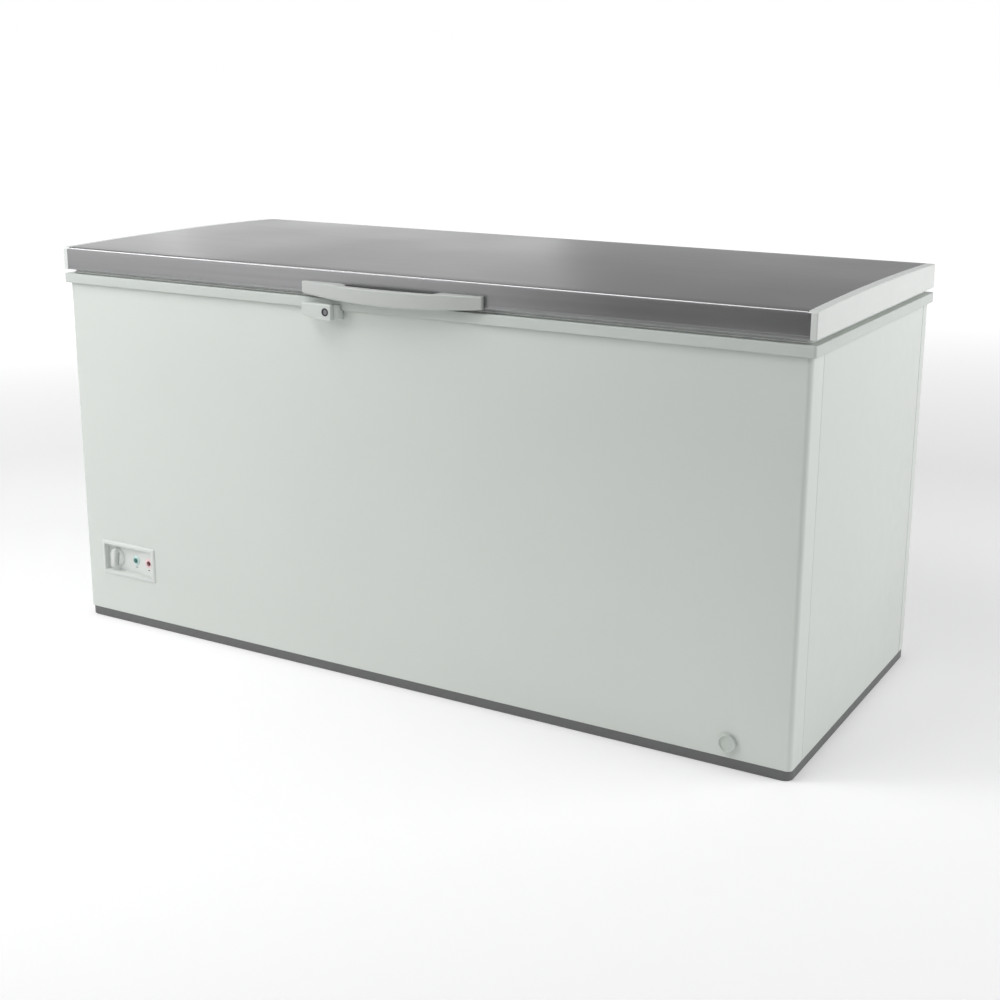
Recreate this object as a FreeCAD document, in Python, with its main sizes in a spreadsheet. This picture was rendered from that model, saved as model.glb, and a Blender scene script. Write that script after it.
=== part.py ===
import FreeCAD, Part
import math
import os
import re
import Sketcher

# Chest freezer, 500-litre class, with a stainless lid. Millimetres, +Z up, +X to the right of
# somebody who stands in front of it, -Y towards that person. The origin is on the floor, under
# the middle of the whole object's box. Every formula below is written with the names in SIZES.

SIZES = {
    # outer case
    "cabinet_width": 1690, "cabinet_depth": 700, "front_y": -352.5, "plinth_top": 20,
    "plinth_rail": 60, "plinth_corner": 18, "case_corner": 10, "gauge": 1, "panel_gap": 0.3,
    "seam": 1.5, "tongue": 9, "front_return": 57, "rear_return": 35, "panel_top": 784,
    "deck_slot_start": 150, "deck_slot_pitch": 40, "deck_slot_wide": 12,
    # louvred vent in the left side, rear cover and cable gland
    "vent_front": 120, "vent_long": 220, "vent_low": 75, "vent_high": 255, "vent_flange": 6,
    "vent_fit": 0.4, "vent_proud": 2.5, "louvre": 7, "louvre_pitch": 14,
    "cover_left": 38, "cover_edge": 12, "cover_lap": 8, "cover_slot": 34, "cover_slot_high": 6,
    "cover_slot_pitch": 45, "cover_row_pitch": 16, "cover_row_low": 150, "screw_inset": 4,
    "gland_back": 60, "gland_z": 70, "gland_radius": 12, "gland_neck": 8, "gland_bore": 4,
    "screw_head": 4.5, "screw_high": 2.2, "screw_shank": 2.4, "screw_hole": 2.5,
    # walls, tub and machine compartment
    "wall": 70, "tub_gauge": 1.2, "tub_floor": 95, "tub_corner": 25, "step_x": -540,
    "step_top": 375, "bulkhead_x": -606, "bulkhead_top": 310, "foam_skin": 2.6, "case_inset": 7.2,
    "foam_gap": 0.4, "way": 6,
    # rim frame
    "rim_low": 767.5, "rim_top": 787.5, "rim_overhang": 7.5, "rim_thick": 2.5, "rim_lip": 16,
    "rim_corner": 5, "rim_edge": 1.5,
    # lid
    "lid_low": 796.5, "lid_overhang": 7, "lid_edge": 845, "crown": 5, "lid_radius": 4.5,
    "skin_gauge": 0.8, "skin_half": 840, "cap_inner": 835, "cap_step": 841, "cap_wall": 3,
    "hem": 40, "tray_inset": 97, "tray_low": 779, "seal_inset": 18, "seal_width": 16,
    # handle
    "handle_x": 10, "handle_half": 206, "handle_reach": 36, "handle_end": 10, "handle_top": 820,
    "grip_thick": 10, "grip_low": 787, "grip_rise": 8, "finger_half": 104,
    # lock
    "lock_left": -189, "lock_right": -118, "lock_low": 747.5, "lock_high": 780, "lock_reach": 30,
    "key_x": -131.5, "key_z": 764.5, "key_radius": 6, "hook_reach": 38, "hook_throat": 34,
    "hook_thick": 3, "hook_back": 15.7, "hook_arm": 6, "hook_nose": 25, "hook_hub": 9,
    "keeper_up": 28.3, "keeper_thick": 2, "keeper_left": 26.5, "keeper_right": 3.8,
    # hinges
    "hinge_x": 600, "pivot_back": 32, "pivot_z": 784, "pin_radius": 4, "bracket_width": 40,
    "bracket_gauge": 2, "web_back": 14, "leaf_half": 17, "leaf_low": 2, "leaf_high": 44,
    "leaf_screw_up": 34, "leaf_screw_off": 6, "arm_inner": 11.5, "arm_outer": 14,
    "bracket_low": 640, "crank": 15.5, "crank_angle": 41, "roller_radius": 3.5,
    "plunger_high": 18, "plunger_gap": 0.8, "plunger_half": 10, "spring_forward": 13.5,
    "spring_coils": 9, "spring_wire": 1.3, "spring_radius": 7,
    # controls
    "panel_x": -718.5, "panel_z": 147, "panel_wide": 156, "panel_high": 80, "bezel_proud": 3,
    "window_lap": 5, "cup_fit": 5.4, "cup_deep": 13, "recess_deep": 10,
    "knob_x": -763, "knob_radius": 22, "lamp_radius": 6,
    "lamp_long": 26, "lamp_up": 2.5, "stat_half": 20, "stat_high": 17, "stat_back": 48,
    "stat_neck": 9, "stat_neck_back": 58, "shaft_radius": 3, "grip_half": 6,
    "green_x": -701.5, "red_x": -662,
    # drain
    "drain_x": 724.5, "drain_z": 49.6, "drain_radius": 17.5, "drain_bore": 8, "drain_y": -232,
    "drain_wall": 2, "collar_proud": 3, "cap_proud": 7, "plug_fit": 0.4, "plug_tab_high": 14,
    # cooling circuit
    "coil_radius": 4, "coil_gap": 0.4, "drier_back": 16, "condenser_radius": 2.5,
    "compressor_x": -722, "compressor_y": 118, "compressor_radius": 74, "compressor_high": 172,
    "mount_across": 62, "mount_along": 92, "mount_high": 13, "mount_radius": 11,
    "mount_plate": 3, "mount_rim": 18, "can_dome": 16,
}

LEFT, RIGHT = "-cabinet_width / 2", "cabinet_width / 2"
FRONT, BACK = "front_y", "front_y + cabinet_depth"
TUB_LEFT, TUB_RIGHT = "-cabinet_width / 2 + wall", "cabinet_width / 2 - wall"
TUB_FRONT, TUB_BACK = "front_y + wall", "front_y + cabinet_depth - wall"
LID_FRONT, LID_BACK = "front_y - lid_overhang", "front_y + cabinet_depth + lid_overhang"
LID_END = "cabinet_width / 2 + lid_overhang"
PIVOT_Y = "front_y + cabinet_depth + pivot_back"

doc = FreeCAD.newDocument("ChestFreezer")
sheet = doc.addObject("Spreadsheet::Sheet", "Sizes")
for row, (alias, number) in enumerate(SIZES.items(), start=1):
    sheet.set(f"A{row}", alias)
    sheet.set(f"B{row}", str(number))
    sheet.setAlias(f"B{row}", alias)
doc.recompute()

parts = {}


def mm(alias):
    """A driving size as a number, for shapes that no formula can drive."""
    return float(getattr(sheet, alias))


def bind(obj, prop, formula):
    """Drives a property by a formula in the sheet's names."""
    linked = re.sub(r"[a-z_]{3,}", lambda m: "Sizes." + m[0] if m[0] in SIZES else m[0], formula)
    obj.setExpression(prop, linked)


def block(name, x, y, z):
    """A box between two formulas on each axis."""
    box = doc.addObject("Part::Box", name)
    for side, axis, (low, high) in zip(("Length", "Width", "Height"), "xyz", (x, y, z)):
        bind(box, side, f"({high}) - ({low})")
        bind(box, f"Placement.Base.{axis}", low)
    return box


def rod(name, axis, centre, radius, span):
    """A cylinder along an axis. centre gives the two other coordinates in X, Y, Z order."""
    turn = {"x": (FreeCAD.Vector(0, 1, 0), 90), "y": (FreeCAD.Vector(1, 0, 0), -90),
            "z": (FreeCAD.Vector(0, 0, 1), 0)}[axis]
    cylinder = doc.addObject("Part::Cylinder", name)
    cylinder.Placement = FreeCAD.Placement(FreeCAD.Vector(), FreeCAD.Rotation(*turn))
    bind(cylinder, "Radius", radius)
    bind(cylinder, "Height", f"({span[1]}) - ({span[0]})")
    for other, formula in zip("xyz".replace(axis, ""), centre):
        bind(cylinder, f"Placement.Base.{other}", formula)
    bind(cylinder, f"Placement.Base.{axis}", span[0])
    return cylinder


def polygon(body, name, plane, corners):
    """A closed sketch on one of a body's own planes, each corner placed by two formulas."""
    sketch = body.newObject("Sketcher::SketchObject", name)
    support = [o for o in body.Origin.OriginFeatures if o.Role == plane][0]
    sketch.AttachmentSupport = [(support, "")]
    sketch.MapMode = "FlatFace"
    count = len(corners)
    start = [FreeCAD.Vector(10 * math.cos(2 * math.pi * i / count),
                            10 * math.sin(2 * math.pi * i / count), 0) for i in range(count)]
    for i in range(count):
        sketch.addGeometry(Part.LineSegment(start[i], start[(i + 1) % count]), False)
    for i in range(count):
        sketch.addConstraint(Sketcher.Constraint("Coincident", i, 2, (i + 1) % count, 1))
    for i, (across, up) in enumerate(corners):
        for kind, formula, first in (("DistanceX", across, start[i].x),
                                     ("DistanceY", up, start[i].y)):
            place = sketch.addConstraint(Sketcher.Constraint(kind, -1, 1, i, 1, first))
            bind(sketch, f"Constraints[{place}]", formula)
    return sketch


def prism(name, plane, corners, span):
    """A PartDesign body: a polygon padded between two formulas along the plane's normal."""
    body = doc.addObject("PartDesign::Body", name)
    sketch = polygon(body, name + "_outline", plane + "_Plane", corners)
    offset = f"-({span[1]})" if plane == "XZ" else span[0]
    bind(sketch, "AttachmentOffset.Base.z", offset)
    pad = body.newObject("PartDesign::Pad", name + "_pad")
    pad.Profile = sketch
    bind(pad, "Length", f"({span[1]}) - ({span[0]})")
    sketch.Visibility = False
    return body


def turned(name, corners, x, y, z):
    """A PartDesign body: a polygon of (radius, height) turned about the upright axis at x, y."""
    body = doc.addObject("PartDesign::Body", name)
    sketch = polygon(body, name + "_profile", "XZ_Plane", corners)
    turn = body.newObject("PartDesign::Revolution", name + "_turn")
    turn.Profile = sketch
    turn.ReferenceAxis = (sketch, ["V_Axis"])
    turn.Angle = 360
    for axis, formula in zip("xyz", (x, y, z)):
        bind(body, f"Placement.Base.{axis}", formula)
    return body


def joined(name, *pieces):
    fuse = doc.addObject("Part::MultiFuse", name)
    fuse.Shapes = list(pieces)
    return fuse


def shared(name, *pieces):
    common = doc.addObject("Part::MultiCommon", name)
    common.Shapes = list(pieces)
    return common


def without(name, base, *tools):
    """base less its tools, one after another."""
    for i, tool in enumerate(tools):
        last = i == len(tools) - 1
        cut = doc.addObject("Part::Cut", name if last else f"{name}_less_{i + 1}")
        cut.Base = base
        cut.Tool = tool
        base = cut
    return base


def rounded(name, base, radius, pick):
    """base with the edges that pick(bounding box) chooses rounded to a size in the sheet."""
    doc.recompute()
    fillet = doc.addObject("Part::Fillet", name)
    fillet.Base = base
    size = mm(radius) if isinstance(radius, str) else radius
    chosen = [i for i, e in enumerate(base.Shape.Edges, start=1) if pick(e.BoundBox)]
    if not chosen:
        raise RuntimeError(f"{name}: no edge to round")
    fillet.Edges = [(i, size, size) for i in chosen]
    return fillet


def upright(box):
    return box.ZLength > 5 and box.XLength < 0.01 and box.YLength < 0.01


def shaped(name, shape):
    """A feature whose shape is set directly."""
    feature = doc.addObject("Part::Feature", name)
    feature.Shape = shape
    return feature


def bent_tube(points, radius, bend, bore=0):
    """A round tube along straight runs joined by tangent arcs, hollow if bore is given."""
    route = [FreeCAD.Vector(*p) for p in points]
    edges, here = [], route[0]
    for i in range(1, len(route) - 1):
        back, ahead = route[i - 1] - route[i], route[i + 1] - route[i]
        turn = math.pi - back.getAngle(ahead)
        reach = min(bend * math.tan(turn / 2), 0.48 * min(back.Length, ahead.Length))
        arc_radius = reach / math.tan(turn / 2)
        back.normalize()
        ahead.normalize()
        first, last = route[i] + back * reach, route[i] + ahead * reach
        inward = (back + ahead).normalize()
        middle = route[i] + inward * (math.hypot(reach, arc_radius) - arc_radius)
        edges += [Part.LineSegment(here, first).toShape(), Part.Arc(first, middle, last).toShape()]
        here = last
    edges.append(Part.LineSegment(here, route[-1]).toShape())
    path = Part.Wire(edges)

    def swept(size):
        ring = Part.Wire([Part.makeCircle(size, route[0], route[1] - route[0])])
        return path.makePipeShell([ring], True, False)

    tube = swept(radius)
    return tube.cut(swept(bore)) if bore else tube


def part(obj, name=None):
    """Hands a finished object over as a node of its own."""
    if name:
        obj.Label = name
    parts[obj.Label] = obj
    return obj


# ---------------------------------------------------------------- base and outer case

def base():
    outer = rounded("plinth_outer", block("plinth_block", (LEFT, RIGHT), (FRONT, BACK),
                                          ("0", "plinth_top")), "plinth_corner", upright)
    holes = [block(f"plinth_hole_{i}", span, (f"{FRONT} + plinth_rail", f"{BACK} - plinth_rail"),
                   ("-1", "plinth_top + 1"))
             for i, span in enumerate([(f"{LEFT} + plinth_rail", "bulkhead_x - plinth_rail / 2"),
                                       ("bulkhead_x + plinth_rail / 2", "plinth_rail"),
                                       ("2 * plinth_rail", f"{RIGHT} - plinth_rail")])]
    part(without("base_plinth", outer, *holes))
    inner_y = (f"{FRONT} + case_inset", f"{BACK} - case_inset")
    floor_z = ("plinth_top", "plinth_top + gauge")
    part(block("base_pan", ("bulkhead_x", f"{RIGHT} - foam_skin"), inner_y, floor_z))
    deck = block("deck_sheet", (f"{LEFT} + foam_skin", "bulkhead_x - panel_gap"), inner_y, floor_z)
    slots = []
    for i in range(5):
        start = f"{FRONT} + deck_slot_start + {i} * deck_slot_pitch"
        slots.append(block(f"deck_slot_{i}", (f"{LEFT} + plinth_rail", f"{LEFT} + 3 * plinth_rail"),
                           (start, f"{start} + deck_slot_wide"),
                           ("plinth_top - gauge", "plinth_top + 2 * gauge")))
    part(without("compressor_deck", deck, *slots))


def wrap_panel(name, outer_y, return_y, sign):
    """A sheet folded round two corners: a face at outer_y and a return along each side."""
    inner_y = f"{outer_y} {sign} gauge"
    corners = [(LEFT, return_y), (LEFT, outer_y), (RIGHT, outer_y), (RIGHT, return_y),
               (f"{RIGHT} - gauge", return_y), (f"{RIGHT} - gauge", inner_y),
               (f"{LEFT} + gauge", inner_y), (f"{LEFT} + gauge", return_y)]
    sheet_body = prism(name + "_fold", "XY", corners, ("plinth_top + panel_gap", "panel_top"))
    half = mm("cabinet_width") / 2
    edge_y = mm("front_y") + (0 if sign == "+" else mm("cabinet_depth"))
    gauge = mm("gauge")

    def at_corner(box, inset):
        beside = abs(abs(box.Center.x) - (half - inset)) < 0.01
        return upright(box) and beside and abs(abs(box.Center.y - edge_y) - inset) < 0.01

    outside = rounded(name + "_outer_bend", sheet_body, "case_corner", lambda b: at_corner(b, 0))
    return rounded(name + "_inner_bend", outside, mm("case_corner") - gauge,
                   lambda b: at_corner(b, gauge))


def case_panels():
    front = wrap_panel("front", FRONT, f"{FRONT} + front_return", "+")
    through = (f"{FRONT} - gauge", f"{FRONT} + 3 * gauge")
    half_wide, half_high = "panel_wide / 2 - window_lap", "panel_high / 2 - window_lap"
    window = block("control_window", (f"panel_x - ({half_wide})", f"panel_x + {half_wide}"), through,
                   (f"panel_z - ({half_high})", f"panel_z + {half_high}"))
    outlet = rod("drain_window", "y", ("drain_x", "drain_z"), "drain_bore + drain_wall + gauge",
                 through)
    part(without("front_panel", front, window, outlet))

    rear = wrap_panel("rear", BACK, f"{BACK} - rear_return", "-")
    through = (f"{BACK} - 3 * gauge", f"{BACK} + gauge")
    access = block("access_window", (f"{LEFT} + cover_left + cover_lap",
                                     "bulkhead_x - 2 * cover_lap"), through,
                   ("plinth_top + cover_edge + cover_lap", "bulkhead_top - cover_edge - cover_lap"))
    holes = [rod(f"bracket_bore_{i}", "y", (x, z), "screw_hole", through)
             for i, (x, z) in enumerate(bracket_screw_places())]
    part(without("rear_panel", rear, access, *holes))

    y_span = (f"{FRONT} + front_return + seam", f"{BACK} - rear_return - seam")
    for side, outside, sign in (("left", LEFT, "+"), ("right", RIGHT, "-")):
        def across(near, far):
            near, far = f"{outside} {sign} {near}", f"{outside} {sign} {far}"
            return (near, far) if sign == "+" else (far, near)
        z_span = ("plinth_top + panel_gap", "panel_top")
        face = block(f"{side}_face", across("0", "gauge"), y_span, z_span)
        tongues = [block(f"{side}_tongue_{i}", across("gauge", "2 * gauge"), span, z_span)
                   for i, span in enumerate([(f"{end} - tongue", f"{end} + tongue")
                                             for end in y_span])]
        panel = joined(f"{side}_sheet", face, *tongues)
        if side == "left":
            vent = block("vent_window", (f"{LEFT} - gauge", f"{LEFT} + 4 * gauge"),
                         (f"{FRONT} + vent_front", f"{FRONT} + vent_front + vent_long"),
                         ("vent_low", "vent_high"))
            panel = without("left_vented", panel, vent)
        part(panel, f"side_panel_{side}")


def vent_grille():
    """Louvred grille in the left side, over the machine compartment."""
    def opening(grow):
        return ((f"{FRONT} + vent_front - ({grow})", f"{FRONT} + vent_front + vent_long + {grow}"),
                (f"vent_low - ({grow})", f"vent_high + {grow}"))

    face_x = mm("cabinet_width") / 2 + mm("vent_proud")
    frame = rounded("vent_frame", block("vent_plate", (f"{LEFT} - vent_proud", LEFT),
                                        *opening("vent_flange")), 2,
                    lambda b: b.XLength < 0.01 and abs(b.Center.x + face_x) < 0.01)
    sleeve = block("vent_sleeve", (LEFT, f"{LEFT} + vent_flange"), *opening("-vent_fit"))
    body = joined("vent_body", frame, sleeve)
    air = []
    for i in range(12):
        low = f"vent_low + louvre + {i} * louvre_pitch"
        air.append(block(f"vent_slot_{i}", (f"{LEFT} - 2 * vent_proud", f"{LEFT} + vent_flange + 2"),
                         opening("-vent_flange")[0], (low, f"{low} + louvre")))
    part(without("vent_grille_left", body, *air))


def rear_cover():
    """Pressed cover over the machine compartment, with rows of slots and the cable gland."""
    x = (f"{LEFT} + cover_left", "bulkhead_x - cover_lap")
    z = ("plinth_top + cover_edge", "bulkhead_top - cover_edge")
    through = (f"{BACK} - gauge", f"{BACK} + 3 * gauge")
    plate = block("rear_cover_plate", x, (BACK, f"{BACK} + gauge"), z)
    air = []
    for i in range(3):
        for j in range(8):
            left = f"{x[0]} + 2 * cover_edge + {i} * cover_slot_pitch"
            low = f"cover_row_low + {j} * cover_row_pitch"
            air.append(block(f"rear_slot_{i}_{j}", (left, f"{left} + cover_slot"), through,
                             (low, f"{low} + cover_slot_high")))
    gland = ("bulkhead_x - gland_back", "gland_z")
    gland_hole = rod("gland_hole", "y", gland, "gland_neck + panel_gap", through)
    part(without("rear_cover", plate, *air, gland_hole))
    ends = [f"{BACK} - gland_radius", f"{BACK} + gauge", f"{BACK} + gland_radius - 2"]
    collar = rod("gland_collar", "y", gland, "gland_radius", (ends[1], ends[2]))
    neck = rod("gland_neck_rod", "y", gland, "gland_neck", (ends[0], ends[1]))
    bore = rod("gland_bore_rod", "y", gland, "gland_bore", (f"{ends[0]} - 1", f"{ends[2]} + 1"))
    part(without("cable_gland", joined("gland_body", collar, neck), bore))
    corners = [(across, up) for across in (f"{x[0]} + screw_inset", f"{x[1]} - screw_inset")
               for up in (f"{z[0]} + screw_inset", f"{z[1]} - screw_inset")]
    return [button_screw(f"cover_screw_{i}", *corner, f"{BACK} + gauge")
            for i, corner in enumerate(corners)]


def button_screw(name, x, z, seat, shank=None):
    """A domed screw head behind a face at y = seat, with a shank in front if one is given."""
    head = rod(name + "_head", "y", (x, z), "screw_head", (seat, f"{seat} + screw_high"))
    if not shank:
        return head
    return joined(name, head, rod(name + "_shank", "y", (x, z), "screw_shank",
                                  (f"{seat} - ({shank})", seat)))


def bracket_screw_places():
    return [(f"{side}hinge_x {off}", f"bracket_low + {up}")
            for side in ("-", "") for off in ("- 12", "+ 12") for up in (12, 100)]


# ---------------------------------------------------------------- tub, bulkhead, foam

def tub():
    def well(name, grow, low, high):
        def out(formula, sign):
            return f"{formula} {sign} {grow}"
        y_span = (out(TUB_FRONT, "-"), out(TUB_BACK, "+"))
        radius = mm("tub_corner") + (mm("tub_gauge") if grow != "0" else 0)
        deep = block(name + "_deep_block", (out("step_x", "-"), out(TUB_RIGHT, "+")), y_span,
                     (low, "step_top + 60"))
        wide = block(name + "_wide_block", (out(TUB_LEFT, "-"), out(TUB_RIGHT, "+")), y_span,
                     (out("step_top", "-"), high))
        return joined(name, rounded(name + "_deep", deep, radius, upright),
                      rounded(name + "_wide", wide, radius, upright))

    outer = well("tub_outer", "tub_gauge", "tub_floor - tub_gauge", "rim_top - rim_thick - 0.3")
    inner = well("tub_inner", "0", "tub_floor", "rim_top + 5")
    drain = rod("tub_drain_hole", "z", ("drain_x", "drain_y"), "drain_bore + 2.3",
                ("tub_floor - 5", "tub_floor + 2"))
    part(without("inner_tub", outer, inner, drain))


def bulkhead():
    """Folded sheet that closes the machine compartment off from the foam."""
    inner_y = (f"{FRONT} + case_inset", f"{BACK} - case_inset")
    low = "plinth_top + gauge + panel_gap"
    corners = [("bulkhead_x", low), ("bulkhead_x + gauge", low),
               ("bulkhead_x + gauge", "bulkhead_top"), (f"{LEFT} + foam_skin", "bulkhead_top"),
               (f"{LEFT} + foam_skin", "bulkhead_top - gauge"),
               ("bulkhead_x", "bulkhead_top - gauge")]
    return prism("bulkhead_fold", "XZ", corners, inner_y)


def foam():
    """Insulation as slabs. They leave a layer round the tub for the cold tube wound on it, and
    a layer behind the rear panel for the warm tube."""
    low, high = "plinth_top + gauge + panel_gap", "panel_top - panel_gap"
    over = "bulkhead_top + panel_gap"
    layer = "tub_gauge + coil_gap + 2 * coil_radius + foam_gap"
    left_x, right_x = f"{LEFT} + foam_skin", f"{RIGHT} - foam_skin"
    front_y = (f"{FRONT} + gauge + foam_gap / 2", f"{TUB_FRONT} - ({layer})")
    back_y = (f"{TUB_BACK} + {layer}", f"{BACK} - case_inset")
    side_y = (f"{TUB_FRONT} - ({layer}) + panel_gap", f"{TUB_BACK} + {layer} - panel_gap")
    clear_x = "bulkhead_x + gauge + foam_gap / 2"
    half = mm("cabinet_width") / 2 - 4

    def wall_slab(name, y_span):
        slab = joined(name, block(name + "_main", (clear_x, right_x), y_span, (low, high)),
                      block(name + "_over", (left_x, clear_x), y_span, (over, high)))
        return rounded(name + "_soft", slab, "case_corner",
                       lambda b: upright(b) and abs(b.Center.x) > half)

    aside = "(drain_bore + drain_wall + 3)"
    drain_slot = block("drain_slot", (f"drain_x - {aside}", f"drain_x + {aside}"),
                       (FRONT, f"drain_y + {aside}"), (f"drain_z - {aside}", "tub_floor"))
    drain_way = rod("drain_way", "y", ("drain_x", "drain_z"), "drain_bore + drain_wall + gauge",
                    (FRONT, TUB_FRONT))
    part(without("foam_front", wall_slab("foam_front_slab", front_y), drain_way))
    part(wall_slab("foam_rear_slab", back_y), "foam_rear")

    riser_x, riser_y, _ = evaporator_route()[0]
    riser = block("riser_channel", (f"{riser_x} - way", f"{riser_x} + wall / 2"),
                  (f"{riser_y} - wall - 4 * way", f"{riser_y} + way"), (over + " - gauge", "panel_top"))
    left = block("foam_left_slab", (left_x, f"{TUB_LEFT} - ({layer})"), side_y, (over, high))
    part(without("foam_left", left, riser))
    part(block("foam_right", (f"{TUB_RIGHT} + {layer}", right_x), side_y, (low, high)))
    floor = block("foam_floor_slab", (f"step_x - ({layer})", f"{TUB_RIGHT} + {layer} - panel_gap"),
                  side_y, (low, "tub_floor - tub_gauge - foam_gap / 2"))
    part(without("foam_floor", floor, drain_slot))
    step = joined("foam_step_slab",
                  block("foam_step_wall", (clear_x, f"step_x - ({layer}) - panel_gap"), side_y,
                        (low, "step_top - tub_gauge - foam_gap / 2")),
                  block("foam_step_top", (f"{TUB_LEFT} - ({layer}) + panel_gap", clear_x), side_y,
                        (over, "step_top - tub_gauge - foam_gap / 2")))
    _, coil_y, coil_z = evaporator_route()[-1]
    elbow = block("coil_elbow", ("step_x - wall", "step_x"), (f"{coil_y} - way",
                                                                 f"{coil_y} + wall / 2 + way"),
                  (f"{coil_z} - way", f"{coil_z} + way"))
    part(without("foam_step", step, elbow, *bulkhead_ways("foam_way", "step_x - bulkhead_x")))


def bulkhead_ways(name, reach):
    """Round ways along X for the tubes that cross the bulkhead, and one up for the riser."""
    x_span = ("bulkhead_x - way", f"bulkhead_x + {reach}")
    _, coil_y, coil_z = evaporator_route()[-1]
    _, sensor_y, sensor_z = sensor_route()[-1]
    riser_x, riser_y, _ = evaporator_route()[0]
    return [rod(name + "_coil", "x", (f"{coil_y}", f"{coil_z}"), "coil_radius + 0.6", x_span),
            rod(name + "_sensor", "x", (f"{sensor_y}", f"{sensor_z}"), "1.8", x_span),
            rod(name + "_riser", "z", (f"{riser_x}", f"{riser_y}"), "coil_radius + 0.6",
                ("bulkhead_top - way", "bulkhead_top + way"))]


# ---------------------------------------------------------------- cooling circuit

def evaporator_route():
    """One tube wound round the tub, five turns above the step and three below it."""
    off = mm("tub_gauge") + mm("coil_gap") + mm("coil_radius")
    half = mm("cabinet_width") / 2 - mm("wall") + off
    front = mm("front_y") + mm("wall") - off
    back = mm("front_y") + mm("cabinet_depth") - mm("wall") + off
    riser_x, riser_y = -half - 20, back - 90
    top, pitch = mm("rim_top") - 55, 80
    route = [(riser_x, riser_y, 250), (riser_x, riser_y, top), (-half, riser_y - 80, top)]
    levels = [(-half, top - pitch * i) for i in range(5)]
    low_x = mm("step_x") - off
    levels += [(low_x, top - pitch * i) for i in range(5, 8)]
    for i, (left, z) in enumerate(levels):
        if i:
            route.append((left, back, z))
        route += [(left, front, z), (half, front, z), (half, back, z)]
    last = levels[-1][1]
    exit_y, exit_z = back - 60, last - 30
    return route + [(low_x, back, exit_z), (low_x, exit_y, exit_z),
                    (mm("bulkhead_x") - 30, exit_y, exit_z)]


def condenser_route():
    """Upright runs of warm tube against the rear panel, with a return run along the bottom."""
    back = mm("front_y") + mm("cabinet_depth")
    y, aside = back - mm("gauge") - mm("condenser_radius") - 0.4, back - mm("drier_back")
    first, pitch, runs = -540, 80, 18
    low, high, start, end = 110, 730, 130, 45
    route = [(-660, aside, start), (-640, aside, start), (-605, y, start)]
    for i in range(runs):
        x = first + pitch * i
        ends = (low if i else start, high)
        for z in (ends if i % 2 == 0 else reversed(ends)):
            route.append((x, y, z))
    route[-1] = (route[-1][0], y, end)
    return route + [(-605, y, end), (-640, aside, end), (-660, aside, end)]


def sensor_route():
    x, z = mm("knob_x"), mm("panel_z")
    front = mm("front_y")
    return [(x, front + 58, z), (x, front + 120, z), (x + 60, front + 170, z + 60),
            (mm("bulkhead_x") + 40, front + 170, z + 60)]


def drain_route():
    x, z, y = mm("drain_x"), mm("drain_z"), mm("drain_y")
    return [(x, y, mm("tub_floor") - mm("tub_gauge") - 0.5), (x, y, z), (x, mm("front_y") + 2.4, z)]


def cooling_circuit():
    """The tubes of the cooling circuit, the drier and the thermostat's sensing tube."""
    coil, thin = mm("coil_radius"), mm("condenser_radius")
    outer_bend = mm("tub_corner") + mm("tub_gauge") + mm("coil_gap") + coil
    part(shaped("evaporator_coil", bent_tube(evaporator_route(), coil, outer_bend)))
    part(shaped("condenser_coil", bent_tube(condenser_route(), thin, 39)))
    part(without("compressor_bulkhead", bulkhead(), *bulkhead_ways("bulkhead_way", "way")))
    part(shaped("thermostat_sensing_tube", bent_tube(sensor_route(), 1.0, 20)))

    inlet_x, y, z = condenser_route()[-1]
    body = rod("drier_body", "x", (f"{y}", f"{z}"), "9", ("-748", "-672"))
    tails = [rod(f"drier_tail_{i}", "x", (f"{y}", f"{z}"), "3.2", span)
             for i, span in enumerate([("-762", "-748"), ("-672", f"{inlet_x}")])]
    end = evaporator_route()[-1]
    capillary = shaped("capillary", bent_tube(
        [(-762, y, z), (-790, y, z), (-790, y - 60, z + 15), (-790, y - 60, 230),
         (-655, y - 60, 230), (-655, end[1], end[2]), end], 1.0, 18))
    part(joined("filter_drier_and_capillary", body, *tails, capillary))

    cx, cy = mm("compressor_x"), mm("compressor_y")
    start = evaporator_route()[0]
    suction = shaped("suction_line", bent_tube(
        [start, (start[0], start[1], 215), (cx - 50, cy + 60, 215), (cx - 50, cy + 20, 215),
         (cx - 50, cy + 20, 178)], coil - 1, 16))
    inlet = condenser_route()[0]
    discharge = shaped("discharge_line", bent_tube(
        [(cx + 50, cy + 20, 178), (cx + 50, cy + 20, 235), (cx + 50, cy + 120, 235),
         (inlet[0] - 25, inlet[1], 200), (inlet[0] - 25, inlet[1], inlet[2]), inlet], thin, 14))
    part(joined("refrigerant_lines", suction, discharge))


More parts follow.
